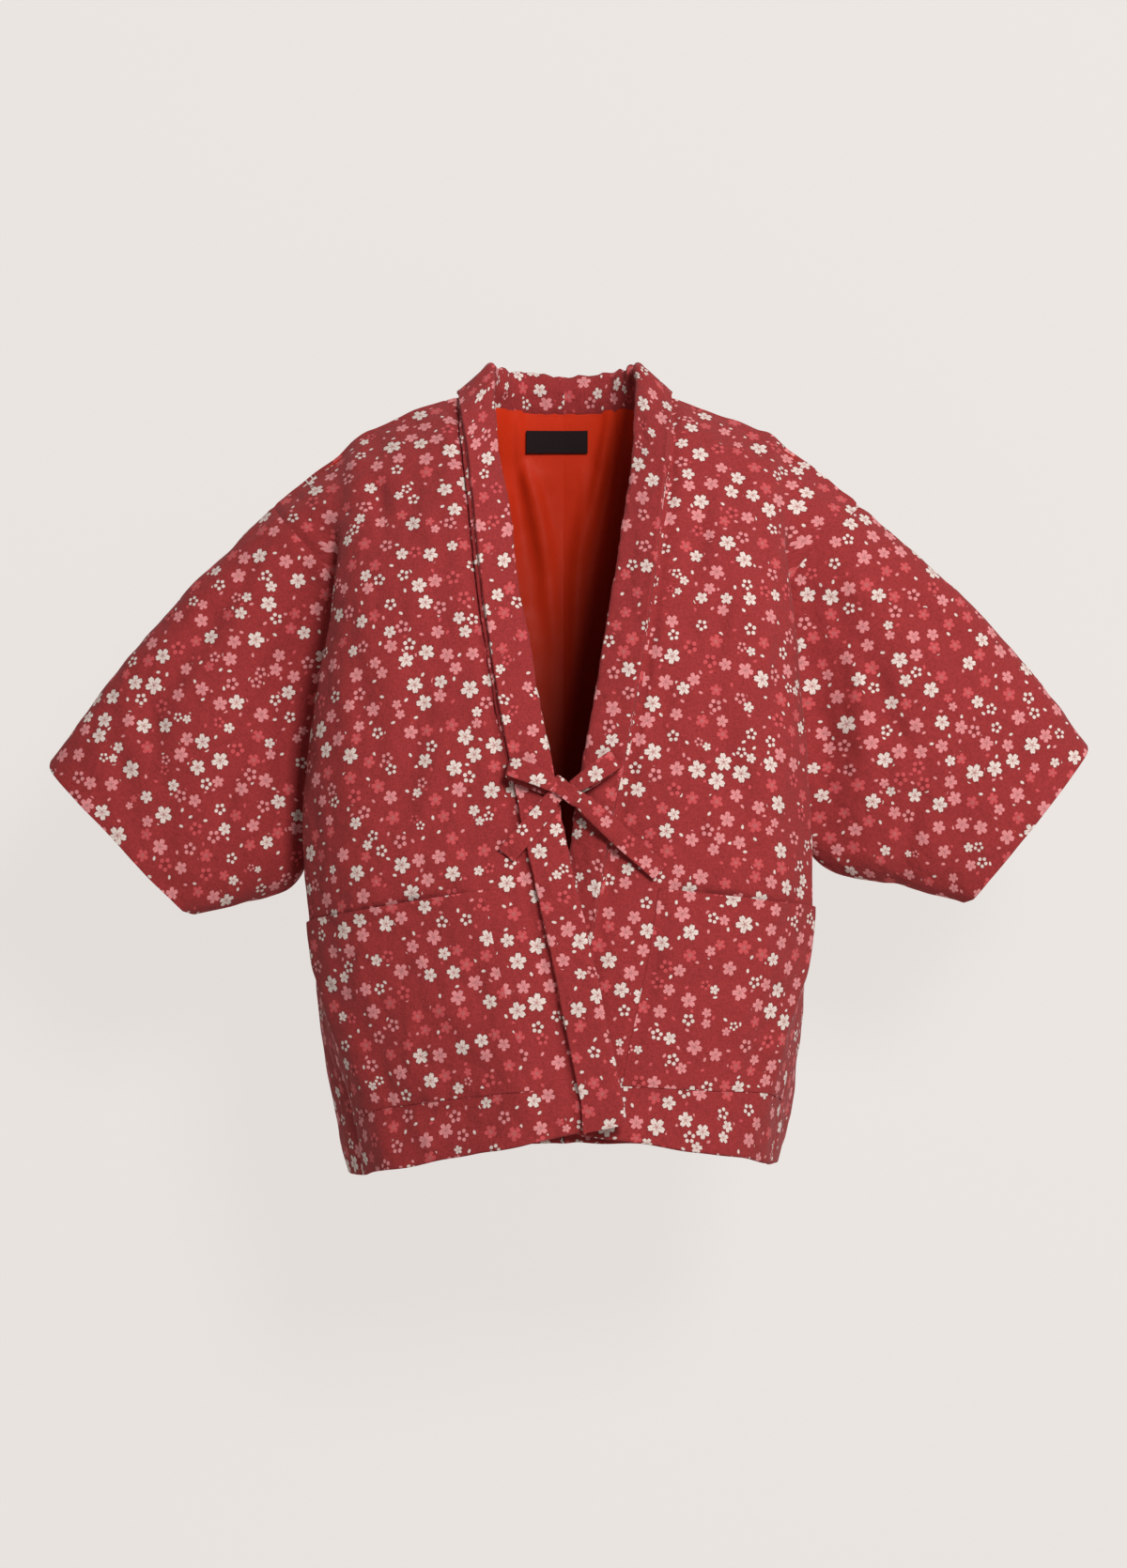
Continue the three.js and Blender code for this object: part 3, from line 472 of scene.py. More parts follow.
def crease_depth(creases, side, grid):
    """Depth of the troughs at each point: x counts from the centre outwards."""
    x, z = side * grid[..., 0], grid[..., 2]
    depth = np.zeros(x.shape)
    for crease in creases:
        if crease["side"] != side:
            continue
        way = np.array([crease["x1"] - crease["x0"], crease["z1"] - crease["z0"]], float)
        share = np.clip(((x - crease["x0"]) * way[0] + (z - crease["z0"]) * way[1]) / (way @ way), 0, 1)
        off = np.hypot(x - crease["x0"] - share * way[0], z - crease["z0"] - share * way[1]) / crease["width"]
        depth += crease["depth"] * np.exp(-off * off) * mix(CREASE_ENDS, 1, np.sin(math.pi * share))
    return depth


def wander(grid, size, seed):
    """Smooth noise from -1 to 1 at each point of a grid."""
    shift = Vector((seed * 7.3, seed * 3.1, seed * 5.7))
    flat = grid.reshape(-1, 3) / size
    return np.array([noise.noise(Vector(point) + shift) for point in flat]).reshape(grid.shape[:2])


def run(points, axis=0):
    """Distances along a line of points, or along the columns (0) or rows (1) of a grid."""
    steps = np.linalg.norm(np.diff(points, axis=axis), axis=-1).cumsum(axis=axis)
    return np.pad(steps, [(int(k == axis), 0) for k in range(steps.ndim)])


def edge_distance(grid):
    """How far each point lies from the top and the bottom edge of its grid."""
    top = run(grid)
    return top, top[-1:] - top


def seam_tree(lines):
    """A tree of all the points on the seams of one half of the jacket."""
    points = np.concatenate(lines)
    tree = kdtree.KDTree(len(points))
    for k, point in enumerate(points):
        tree.insert(point, k)
    tree.balance()
    return tree


def seam_distance(grid, tree):
    return np.array([tree.find(point)[2] for point in grid.reshape(-1, 3)]).reshape(grid.shape[:2])


def padded_relief(grid, near):
    """How far padded cloth stands out: swells, the pinch at its seams and the puckers beside them."""
    fade = np.clip(near / SEAM_FADE, 0, 1)
    fade = fade * fade * (3 - 2 * fade)
    swell = SWELL["height"] * wander(grid, SWELL["size"], 1)
    swell += SWELL["fine_height"] * wander(grid, SWELL["fine_size"], 2)
    pinch = SEAM_PINCH["depth"] * np.exp(-((near / SEAM_PINCH["reach"]) ** 2))
    beside = np.exp(-near / PUCKER["reach"]) * np.clip(near / PUCKER["start"], 0, 1)
    return swell * fade - pinch + PUCKER["height"] * beside * wander(grid, PUCKER["size"], 3)


def share_normals(grids, normals):
    """Gives points that lie on a common seam one normal, so that the seam stays closed."""
    met = {}
    for grid, own in zip(grids, normals):
        rows, columns = grid.shape[:2]
        border = {(i, j) for i in range(rows) for j in (0, columns - 1)}
        border |= {(i, j) for i in (0, rows - 1) for j in range(columns)}
        for place in border:
            met.setdefault(tuple(np.round(grid[place], 1)), []).append((own, place))
    for group in met.values():
        common = sum(own[place] for own, place in group)
        common /= np.linalg.norm(common)
        for own, place in group:
            own[place] = common


def widths(grid, across):
    """Distances along the sections, measured across and in depth only."""
    steps = np.hypot(np.diff(grid, axis=1) @ across, np.diff(grid[..., 1], axis=1))
    return np.pad(np.cumsum(steps, axis=1), ((0, 0), (1, 0)))


def flat_places(grid, side, start):
    """Places on the flat cloth, in metres: along the sections, and down the garment."""
    u = widths(grid, np.array([side, 0, 0], float)) + start[:, None]
    height = np.hypot(np.diff(grid[..., 2], axis=0), np.diff(grid[..., 1], axis=0))
    v = np.pad(np.cumsum(height, axis=0), ((1, 0), (0, 0))) - grid[:1, :, 2]
    return np.stack([u, -v], axis=2) * MM


def back_sheet(side, front):
    grid = surface(back_control(side), DOWN, ACROSS)
    grid[:, 0, 0] = 0
    grid[0, NECK_COLUMNS:] = front[0]
    return grid


def gusset_sheet(side, front, back):
    first = UNDERARM_ROW * DOWN
    sides = []
    for k, row in enumerate(GUSSET):
        a, c = front[first + k * DOWN, -1], back[first + k * DOWN, -1]
        x = -row["side_right"] if side == RIGHT else row["side_left"]
        sides.append([x, (a[1] + c[1]) / 2, a[2] - GUSSET_DROP])
    middle = section_weights(len(sides), DOWN) @ np.array(sides)
    control = np.stack([front[first:, -1], middle, back[first:, -1]], axis=1)
    columns = spline_weights(3, np.linspace(0, 2, GUSSET_ACROSS + 1))
    return np.einsum("rck,uc->ruk", control, columns)


def sleeve_sheet(side, front, back, gusset):
    """Rings from the armhole to the cuff. Each starts and ends at the underarm and passes over the top."""
    last = UNDERARM_ROW * DOWN
    down = front[: last + 1, -1]
    up = back[1 : last + 1, -1][::-1]
    under = gusset[0, 1:-1]
    root = np.concatenate([down, under, up])
    height = down[0, 2] - down[last, 2]

    def turn_at(point, behind):
        share = min(max((down[0, 2] - point[2]) / height, 0), 1)
        angle = math.acos(1 - 2 * share) * ROOT_TURN
        return 2 * math.pi - angle if behind else angle

    ends = (turn_at(down[last], False), turn_at(up[0], True))
    angles = [turn_at(point, False) for point in down]
    angles += [mix(*ends, (k + 1) / (len(under) + 1)) for k in range(len(under))]
    angles += [turn_at(point, True) for point in up]
    angles = np.array(angles)
    bottom = last + 1 + len(under) // 2
    sections = [root]
    name = SIDES[side]
    out = np.sin(angles)
    for row in SLEEVE:
        top, low = (
            np.array([side * row[f"{end}_{name}_x"], row["mid_y"], row[f"{end}_{name}_z"]], float)
            for end in ("top", "low")
        )
        depth = np.sign(out) * np.abs(out) ** SECTION_POWER * row["half_depth"]
        ring = (top + low) / 2 + np.cos(angles)[:, None] * (top - low) / 2
        ring[:, 1] -= depth
        sections.append(ring)
    rows = section_weights(len(sections), SLEEVE_ALONG)
    grid = np.einsum("vr,rck->vck", rows, np.array(sections))
    fold = np.minimum(np.minimum(angles, 2 * math.pi - angles), np.abs(angles - math.pi))
    to_cuff = edge_distance(grid)[1]
    back = CUFF_ROUND["length"] * np.exp(-((fold / CUFF_ROUND["turn"]) ** 2) - to_cuff / CUFF_ROUND["reach"])
    along = np.gradient(grid, axis=0)
    return grid - along / np.linalg.norm(along, axis=2, keepdims=True) * back[..., None], bottom


def risen(distance, reach):
    """From 0 at a seam or edge to 1 at the given distance from it."""
    return np.clip(distance / reach, 0, 1)


def hump(distance, reach):
    return np.exp(-((distance / reach) ** 2))


def pressed(kind, side, plain, near):
    """How deep the creases of a padded piece are pressed in."""
    depth = crease_depth(CREASES.get(kind, []), side, plain)
    if kind == "sleeve":
        return depth * risen(near, SLEEVE_CREASE_FADE)
    depth *= risen(near, CREASE_FADE) * risen(edge_distance(plain)[0], CREASE_FADE)
    if kind in ("front", "back"):
        depth += crease_depth(SHOULDER_CREASES, side, plain) * risen(near, CREASE_FADE)
    return depth


def padded(kind, side, plain, normals, tree):
    """The outer face of a padded piece, with its creases, swells and seams."""
    near = seam_distance(plain, tree)
    top, bottom = edge_distance(plain)
    depth = pressed(kind, side, plain, near)
    if kind == "front":
        beside = np.linalg.norm(plain - plain[:, :1], axis=2)
        groove = BAND_GROOVE[SIDES[side]] * risen(top, CREASE_FADE)
        depth += groove * hump(beside, BAND_GROOVE["reach"]) * (1 - hump(beside, BAND_GROOVE["start"]))
    grid = plain + normals * (padded_relief(plain, near) - depth)[..., None]
    loose = HEM["height"] * np.exp(-bottom / HEM["reach"]) * risen(near, HEM["start"])
    grid[..., 2] += loose * wander(plain, HEM["size"], 4)
    return grid


def band_edges(side, front, back):
    """The band's seam line and its free edge, from the hem to the centre back."""
    seam = np.concatenate([front[::-1, 0], back[0, NECK_COLUMNS - 1 :: -1]])
    free_control = [band_point(side, row, "free") for row in reversed(BAND)]
    free_control += [[side * row["free_x"], row["free_y"], row["free_z"]] for row in NECK]
    steps = np.concatenate([
        places(len(BAND) - 1, DOWN),
        len(BAND) - 1 + places(len(NECK), ACROSS)[1:],
    ])
    free = spline_weights(len(free_control), steps) @ np.array(free_control, float)
    free[-1, 0] = 0
    return seam, free


# The band's section: place across from seam to free edge, and height above its base
BAND_SECTION = table("across height", [
    [0.0, 0.0],
    [-0.07, COLLAR_BULGE * 0.45],
    [-0.02, COLLAR_BULGE * 0.95],
    [0.12, COLLAR_BULGE * 1.35],
    [0.34, COLLAR_BULGE * 1.55],
    [0.56, COLLAR_BULGE * 1.65],
    [0.78, COLLAR_BULGE * 1.2],
    [0.93, COLLAR_BULGE * 0.5],
    [1.0, -WALL * 0.45],
    [0.9, -WALL - COLLAR_BACKING * 0.3],
    [0.5, -WALL - COLLAR_BACKING],
    [0.12, -WALL - COLLAR_BACKING * 0.5],
    [0.0, -WALL],
])


def closed_weights(count, steps):
    """Catmull-Rom weights round a closed loop of count points."""
    open_weights = spline_weights(count + 4, np.linspace(2, count + 2, count * steps + 1))
    weights = np.zeros((len(open_weights), count))
    for j in range(count + 4):
        weights[:, (j - 2) % count] += open_weights[:, j]
    return weights


def band_grid(side, front, back):
    seam, free = band_edges(side, front, back)
    across = free - seam
    base = np.cross(across, np.gradient(seam, axis=0)) * side
    base /= np.linalg.norm(base, axis=1, keepdims=True)
    rings = np.array([
        seam + across * place["across"] + base * place["height"] for place in BAND_SECTION
    ]).transpose(1, 0, 2)
    weights = closed_weights(len(BAND_SECTION), BAND_ROUND)
    grid = np.einsum("uc,rck->ruk", weights, rings)
    outward = grid_normals(grid[:, :-1], 1, closed=True)
    centre = grid[:, :-1].mean(axis=1, keepdims=True)
    if np.sum(outward * (grid[:, :-1] - centre)) < 0:
        outward = -outward
    outward = np.concatenate([outward, outward[:, :1]], axis=1)
    length = run(seam)
    from_neck = risen(length - length[len(front) - 1] + GATHER["before"], GATHER["reach"])[:, None]
    ripple = wander(np.stack([length / GATHER["size"], length * 0, length * 0], axis=1)[:, None], 1, 20 + side)
    place = np.linalg.norm(grid - seam[:, None], axis=2) / np.linalg.norm(across, axis=1)[:, None]
    edges = np.abs(2 * np.clip(place, 0, 1) - 1) ** 2
    crinkle = wander(grid, CRINKLE["size"], 20 + side) * CRINKLE["height"]
    crinkle += wander(grid, CRINKLE["fine_size"], 23 + side) * CRINKLE["fine_height"]
    gathered = from_neck * np.clip(place, GATHER["least"], 1)
    crinkle += ripple * (GATHER["edges"] * edges + GATHER["neck"] * gathered)
    swell = wander(grid, COLLAR_SWELL["size"], 26 + side) * COLLAR_SWELL["height"]
    ends = risen(np.minimum(length + COLLAR_ENDS["start"], length[-1] - length), COLLAR_ENDS["reach"])[:, None]
    return grid + outward * ((crinkle + swell) * ends)[..., None], length


def make_cloth(node, ending, grid, flat, outward, closed=False, facing=None, caps=False, rim=()):
    """A sheet or tube object from a grid in millimetres, with its flat places on the bolt as a UV map."""
    name = node + ending
    on_bolt = flat + np.array(BOLT[node], float)
    rows, columns = grid.shape[:2]
    mesh = bpy.data.meshes.new(name)
    shape = bmesh.new()
    bmesh.ops.create_grid(shape, x_segments=columns - 1, y_segments=rows - 1, size=1)
    layer = shape.loops.layers.uv.new("cloth")
    index = {}
    for vert in shape.verts:
        j = round((vert.co.x + 1) / 2 * (columns - 1))
        i = round((vert.co.y + 1) / 2 * (rows - 1))
        index[vert] = (i, j)
    for face in shape.faces:
        face.smooth = True
        for loop in face.loops:
            loop[layer].uv = on_bolt[index[loop.vert]]
        if facing is not None:
            face.material_index = 2 if all(facing[index[v]] for v in face.verts) else 0
    weight = shape.edges.layers.float.new("bevel_weight_edge")
    for edge in shape.edges:
        ends = [index[vert] for vert in edge.verts]
        loose = ("bottom" in rim and all(i == rows - 1 for i, j in ends)) or (
            "top" in rim and all(i == 0 for i, j in ends)
        )
        edge[weight] = float(loose)
    for vert, place in index.items():
        vert.co = grid[place] * MM
    shape.normal_update()
    probe = sum((face.normal.dot(Vector(outward[index[face.verts[0]]])) for face in shape.faces))
    if probe < 0:
        bmesh.ops.reverse_faces(shape, faces=shape.faces)
    if closed:
        bmesh.ops.remove_doubles(shape, verts=shape.verts, dist=1e-6)
    for edge in shape.edges:
        edge.smooth = bool(edge[weight]) or not edge.is_boundary
    if caps:
        edges = [edge for edge in shape.edges if edge.is_boundary]
        bmesh.ops.holes_fill(shape, edges=edges, sides=0)
        bmesh.ops.recalc_face_normals(shape, faces=shape.faces)
    shape.to_mesh(mesh)
    shape.free()
    piece = bpy.data.objects.new(name, mesh)
    bpy.context.scene.collection.objects.link(piece)
    return piece


def give_wall(piece, wall, offset):
    """Gives a sheet its wall: inwards at offset -1, outwards at 1."""
    solid = piece.modifiers.new("wall", "SOLIDIFY")
    solid.thickness = wall * MM
    solid.offset = offset
    return solid


def round_edges(piece, width, segments):
    edge = piece.modifiers.new("rim", "BEVEL")
    edge.width = width * MM
    edge.segments = segments
    return edge


def thicken(piece, wall):
    """Gives a padded sheet its wall, inwards, and rounds its loose edges."""
    solid = give_wall(piece, wall, -1)
    solid.use_quality_normals = True
    solid.material_offset = 1
    solid.material_offset_rim = 0
    round_edges(piece, wall * 0.42, 3).limit_method = "WEIGHT"


def stand_for(piece, node):
    """Parents the piece to the jacket's root and hides the node of the solids that it stands for."""
    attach(piece, "root")
    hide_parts(node)


def declare_cloth(piece, node, grid):
    """Parents the piece and hides the node it stands for; the size that its cloth is cut to is worked out but
    not kept.
    """
    stand_for(piece, node)
    across = np.linalg.norm(np.diff(grid, axis=1), axis=2).sum(axis=1)
    down = np.linalg.norm(np.diff(grid, axis=0), axis=2).sum(axis=0)
    cells = np.cross(np.diff(grid, axis=1)[:-1], np.diff(grid, axis=0)[:, :-1])
    area = np.linalg.norm(cells, axis=2).sum() * MM * MM
    flat = (float(across.max()) * MM, float(down.max()) * MM)
    area = min(area, flat[0] * flat[1])


def joined(operation):
    """A method of Shade that joins it with further values in one Math node."""
    return lambda shade, *others: shade.calc(operation, *others)


class Shade:
    """A socket of a material, which can stand in sums."""

    def __init__(self, tree, socket):
        self.tree = tree
        self.socket = socket

    def calc(self, operation, *others):
        node = self.tree.nodes.new("ShaderNodeMath")
        node.operation = operation
        for k, value in enumerate((self, *others)):
            feed(self.tree, node.inputs[k], value)
        return Shade(self.tree, node.outputs[0])

    def __rsub__(self, other):
        return self.calc("MULTIPLY_ADD", -1.0, other)

    def unit(self):
        """Kept between 0 and 1."""
        return self.calc("MINIMUM", 1.0).calc("MAXIMUM", 0.0)

    __add__ = __radd__ = joined("ADD")
    __sub__ = joined("SUBTRACT")
    __mul__ = __rmul__ = joined("MULTIPLY")
    __truediv__ = joined("DIVIDE")
    below = joined("LESS_THAN")
    above = joined("GREATER_THAN")


def feed(tree, socket, value):
    if isinstance(value, Shade):
        tree.links.new(value.socket, socket)
    else:
        socket.default_value = value


class Finish:
    """A material with one Principled shader, built from named nodes."""

    def __init__(self, name, **constants):
        self.material = bpy.data.materials.new(name)
        self.material.use_nodes = True
        self.tree = self.material.node_tree
        self.shader = self.tree.nodes["Principled BSDF"]
        for socket, value in constants.items():
            self.shader.inputs[socket.replace("_", " ")].default_value = value

    def node(self, kind, sockets, output=0, **settings):
        """Adds a node: its settings first, then the values or links of its sockets."""
        node = self.tree.nodes.new(kind)
        for name, value in settings.items():
            setattr(node, name, value)
        for name, value in sockets.items():
            feed(self.tree, node.inputs[name], value)
        if isinstance(output, list):
            return [Shade(self.tree, node.outputs[name]) for name in output]
        return Shade(self.tree, node.outputs[output])

    def cloth(self):
        return self.node("ShaderNodeUVMap", {}, uv_map="cloth")

    def mix(self, share, first, second, blend="MIX"):
        sockets = {0: share, 6: first, 7: second}
        return self.node("ShaderNodeMix", sockets, 2, data_type="RGBA", blend_type=blend)

    def noise(self, place, scale, detail=2.0, stretch=(1, 1, 1)):
        mapped = self.node("ShaderNodeMapping", {"Vector": place, "Scale": stretch})
        return self.node("ShaderNodeTexNoise", {"Vector": mapped, "Scale": scale, "Detail": detail})

    def paint(self, colour):
        feed(self.tree, self.shader.inputs["Base Color"], colour)

    def relief(self, height, distance, strength=1.0):
        bump = self.node("ShaderNodeBump", {"Height": height, "Distance": distance, "Strength": strength})
        feed(self.tree, self.shader.inputs["Normal"], bump)


# The print, in millimetres: how far apart its blossoms and single petals stand, how unevenly, how soft
# their outlines are, and how far the print is turned against the grain
PRINT = {
    "spacing": 21.0, "scatter": 0.68, "petal_spacing": 15.6, "petal_scatter": 0.9, "edge": 0.5, "turn": 0.43,
}
# Chances below which a blossom is cream or pink (the rest are coral), and above which it is five dots
CHANCE = {"cream": 0.24, "pink": 0.54, "dotted": 0.76, "petal": 0.8}
# A coral blossom's radius, and what the other kinds add to it
RADIUS = {"coral": 6.8, "cream": 1.3, "pink": 0.7, "dotted": -0.3}
# Parts of a blossom, as shares of its radius
BLOSSOM = {
    "base": 0.36, "notch": 0.13, "notch_width": 0.24, "dot_place": 0.66, "dot": 0.33,
    "star": 0.5, "star_waist": 0.36, "core": 0.13, "halo": 0.56, "halo_swell": 0.52,
}
PETAL = {"length": 2.4, "width": 1.55}
CREAM = (0.76, 0.64, 0.59, 1)
PINK = (0.72, 0.26, 0.27, 1)
CORAL = (0.57, 0.08, 0.088, 1)
HEART = (0.42, 0.16, 0.15, 1)
HALO = (0.42, 0.34, 0.34, 1)
WORN = (0.72, 0.66, 0.66, 1)


def scattered(finish, cloth, spacing, scatter):
    """Scattered points: the sockets that place them, and the nearest one's distance, chances and x, y."""
    place = finish.node("ShaderNodeVectorMath", {0: cloth, "Scale": 1 / (spacing * MM)}, operation="SCALE")
    sockets = {"Vector": place, "Scale": 1.0, "Randomness": scatter}
    outputs = ["Distance", "Color", "Position"]
    distance, chance, seed = finish.node(
        "ShaderNodeTexVoronoi", sockets, outputs, voronoi_dimensions="2D", feature="F1"
    )
    chances = finish.node("ShaderNodeSeparateColor", {0: chance}, ["Red", "Green", "Blue"])
    local = finish.node("ShaderNodeVectorMath", {0: place, 1: seed}, operation="SUBTRACT")
    return sockets, distance, chances, finish.node("ShaderNodeSeparateXYZ", {0: local}, ["X", "Y"])


def tinted(finish, cream, pink):
    return finish.mix(cream, finish.mix(pink, CORAL, PINK), CREAM)


def blossoms(finish, cloth, ground):
    """Scattered five-petalled blossoms, five-dot flowers and single petals over a ground colour."""
    cloth = finish.node("ShaderNodeMapping", {"Vector": cloth, "Rotation": (0, 0, PRINT["turn"])})
    spacing, soft = PRINT["spacing"], PRINT["edge"]
    sockets, distance, (kind, turn, shade), (x, y) = scattered(finish, cloth, spacing, PRINT["scatter"])
    room = finish.node(
        "ShaderNodeTexVoronoi", sockets, "Radius", voronoi_dimensions="2D", feature="N_SPHERE_RADIUS"
    )
    lobe = ((y.calc("ARCTAN2", x) / (2 * math.pi) + turn) * 5.0).calc("FRACT")
    lobe = (lobe - 0.5).calc("ABSOLUTE") * 2.0
    reach = distance * spacing
    cream, pink = kind.below(CHANCE["cream"]), kind.below(CHANCE["pink"])
    dotted = kind.above(CHANCE["dotted"])
    radius = RADIUS["coral"] + cream * RADIUS["cream"] + pink * RADIUS["pink"] + dotted * RADIUS["dotted"]
    radius = (radius * (0.88 + shade * 0.24)).calc("MINIMUM", room * (spacing * 1.04))
    rounded = (lobe * (math.pi / 2)).calc("COSINE").unit().calc("POWER", 0.68)
    notch = (1.0 - lobe / BLOSSOM["notch_width"]).unit() * BLOSSOM["notch"]
    outline = radius * (BLOSSOM["base"] + rounded * (1 - BLOSSOM["base"]) - notch)
    petals = ((outline - reach) / soft).unit() * (1.0 - dotted)
    dot_place = radius * BLOSSOM["dot_place"]
    spread = (lobe * (math.pi / 5)).calc("COSINE")
    dot_distance = (reach * reach + dot_place * dot_place - 2.0 * reach * dot_place * spread).calc("SQRT")
    dots = ((radius * BLOSSOM["dot"] - dot_distance) / soft).unit() * dotted
    star = ((radius * (BLOSSOM["star"] - lobe * BLOSSOM["star_waist"]) - reach) / 0.8).unit() * 0.5
    core = ((radius * BLOSSOM["core"] - reach) / 0.4).unit() * 0.4
    halo = ((radius * (BLOSSOM["halo"] + rounded * BLOSSOM["halo_swell"]) - reach) / 0.8).unit()
    clear = ((reach - radius - 1.0) / 0.4).unit()

    small = PRINT["petal_spacing"]
    _, _, (kept, hue, lean), (a, b) = scattered(finish, cloth, small, PRINT["petal_scatter"])
    swing = lean * (2 * math.pi)
    cosine, sine = swing.calc("COSINE"), swing.calc("SINE")
    long = (a * cosine + b * sine) * (small / PETAL["length"])
    wide = (b * cosine - a * sine) * (small / PETAL["width"])
    oval = ((1.0 - (long * long + wide * wide).calc("SQRT")) * 3.0).unit() * kept.below(CHANCE["petal"]) * clear

    shaded = finish.mix(halo * 0.6 * (cream + dotted * 0.6), ground, HALO, "MULTIPLY")
    heart = (star + core).unit() * (1.0 - dotted)
    tint = finish.mix(heart, tinted(finish, cream, pink), HEART)
    colour = finish.mix(oval, shaded, tinted(finish, hue.below(0.42), hue.below(0.8)))
    colour = finish.mix(petals, colour, tint)
    return finish.mix(dots, colour, tinted(finish, shade.below(0.45), shade.below(0.75)))


def cotton(name, ground, sheen):
    """Matt printed cotton with a fine uneven weave."""
    finish = Finish(name, Roughness=0.9, Sheen_Weight=sheen, Sheen_Roughness=0.6, Specular_IOR_Level=0.18)
    cloth = finish.cloth()
    slubs = finish.noise(cloth, 900.0, 2.0, (0.16, 1, 1)) + finish.noise(cloth, 900.0, 2.0, (1, 0.16, 1))
    grain = finish.noise(cloth, 430.0, 3.0)
    broad = finish.noise(cloth, 16.0, 2.0)
    base = finish.mix((slubs * 1.6 - 1.1).unit(), scaled(ground, 1.12), scaled(ground, 0.76))
    base = finish.mix((broad * 2.0 - 0.6).unit() * 0.4, base, scaled(ground, 0.8))
    printed = blossoms(finish, cloth, base)
    finish.paint(finish.mix((grain * 3.0 - 1.2).unit() * 0.8, printed, WORN, "MULTIPLY"))
    crumple = finish.noise(cloth, 50.0, 3.0, (1, 0.85, 1))
    creases = finish.noise(cloth, 24.0, 2.0, (1.1, 0.7, 1))
    finish.relief(slubs * 0.06 + crumple + creases * 1.8, 4.4 * MM, 0.75)
    return finish.material


def scaled(colour, factor):
    return (*(channel * factor for channel in colour[:3]), 1)


# How far down inside the satin its painted shade reaches its darkest, in metres
LINING_SHADE_DEPTH = 0.34


def satin(name, ground):
    """Smooth orange-red satin lining with soft creases, and painted shade that darkens it further down inside.
    """
    finish = Finish(name, Roughness=0.5, Specular_IOR_Level=0.08)
    cloth = finish.cloth()
    threads = finish.noise(cloth, 1100.0, 1.0, (1, 0.1, 1))
    folds = finish.noise(cloth, 30.0, 2.0, (1, 0.4, 1))
    colour = finish.mix(finish.noise(cloth, 9.0, 2.0) * 0.5, ground, scaled(ground, 0.82))
    place = finish.node("ShaderNodeTexCoord", {}, "Object")
    up = finish.node("ShaderNodeSeparateXYZ", {0: place}, "Z")
    # Painted shade: the satin darkens from its top down to a deep tone, as if less light reached far inside
    colour = finish.mix((up / -LINING_SHADE_DEPTH).unit(), colour, scaled(ground, 0.36))
    finish.paint(finish.mix(threads * 0.3, colour, scaled(ground, 0.4)))
    feed(finish.tree, finish.shader.inputs["Roughness"], 0.42 + threads * 0.16)
    finish.relief(folds + threads * 0.03, 1.2 * MM, 0.4)
    return finish.material


def woven_label(name):
    """A dark woven ribbon with fine ribs, left bare."""
    finish = Finish(name, Roughness=0.85, Specular_IOR_Level=0.15)
    cloth = finish.cloth()
    v = finish.node("ShaderNodeSeparateXYZ", {0: cloth}, "Y")
    ribs = (v * (2 * math.pi / (LABEL["rib"] * MM))).calc("SINE") * 0.5 + 0.5
    threads = finish.noise(cloth, 1500.0, 2.0)
    dark, light = (0.008, 0.004, 0.005, 1), (0.021, 0.013, 0.014, 1)
    finish.paint(finish.mix(ribs * 0.5 + threads * 0.4, dark, light))
    finish.relief(ribs + threads * 0.5, 0.2 * MM, 0.7)
    return finish.material


def plaster(name, colour, glow):
    """The plain pale floor and backdrop, which glow a little so that they look evenly lit."""
    finish = Finish(name, Roughness=0.95, Specular_IOR_Level=0.0, Emission_Strength=glow)
    finish.shader.inputs["Emission Color"].default_value = colour
    place = finish.node("ShaderNodeTexCoord", {}, "Object")
    shade = scaled(colour, 1 - glow)
    finish.paint(finish.mix(finish.noise(place, 3.0) * 0.1, shade, scaled(shade, 0.97)))
    clear_from_behind(finish)
    return finish.material


def clear_from_behind(finish):
    """Makes a sheet's back face clear, so that the backdrop never hides the jacket in a view from behind."""
    behind = finish.node("ShaderNodeNewGeometry", {}, "Backfacing")
    clear = finish.node("ShaderNodeBsdfTransparent", {})
    painted = Shade(finish.tree, finish.shader.outputs[0])
    shown = finish.node("ShaderNodeMixShader", {0: behind, 1: painted, 2: clear})
    feed(finish.tree, finish.tree.nodes["Material Output"].inputs["Surface"], shown)


def colour_setting(name, description, default):
    return bpy.props.FloatVectorProperty(
        name=name, description=description, subtype="COLOR", size=3, min=0, max=1, default=default
    )


def number_setting(name, description, default, least=0, **more):
    return bpy.props.FloatProperty(name=name, description=description, default=default, min=least, **more)


class JacketSettings(bpy.types.PropertyGroup):
    """Colours and sizes that a user would change."""

    ground: colour_setting("Cotton", "Ground colour of the printed cotton", (0.342, 0.033, 0.035))
    lining: colour_setting("Lining", "Colour of the satin lining", (0.66, 0.036, 0.009))
    sheen: number_setting("Nap", "How much light the cotton's nap catches", 0.04, max=1)
    wall: number_setting(
        "Padding", "Thickness of a padded panel", WALL * MM, 0.002, max=0.012, subtype="DISTANCE", unit="LENGTH"
    )


class StageSettings(bpy.types.PropertyGroup):
    """The backdrop and the lights."""

    backdrop: colour_setting("Backdrop", "Colour of the floor and the wall behind", (0.83, 0.79, 0.76))
    glow: number_setting("Glow", "Share of the backdrop's brightness that is even", 0.9, max=1)
    fill: number_setting("Fill", "Strength of the light from all round", 0.1)
    key: number_setting("Key", "Power of the light from the upper right", 30, subtype="POWER")
    front: number_setting("Front", "Power of the light beside the camera", 121, subtype="POWER")
    camera_distance: number_setting(
        "Distance", "From the camera to the middle of the jacket", 3.6, 1, max=10,
        subtype="DISTANCE", unit="LENGTH",
    )


def print_finish(context):
    """The jacket's printed cotton, made once."""
    settings = context.scene.jacket
    found = bpy.data.materials.get("blossom_cotton")
    return found or cotton("blossom_cotton", (*settings.ground, 1), settings.sheen)


def lining_finish(context):
    found = bpy.data.materials.get("orange_satin")
    return found or satin("orange_satin", (*context.scene.jacket.lining, 1))


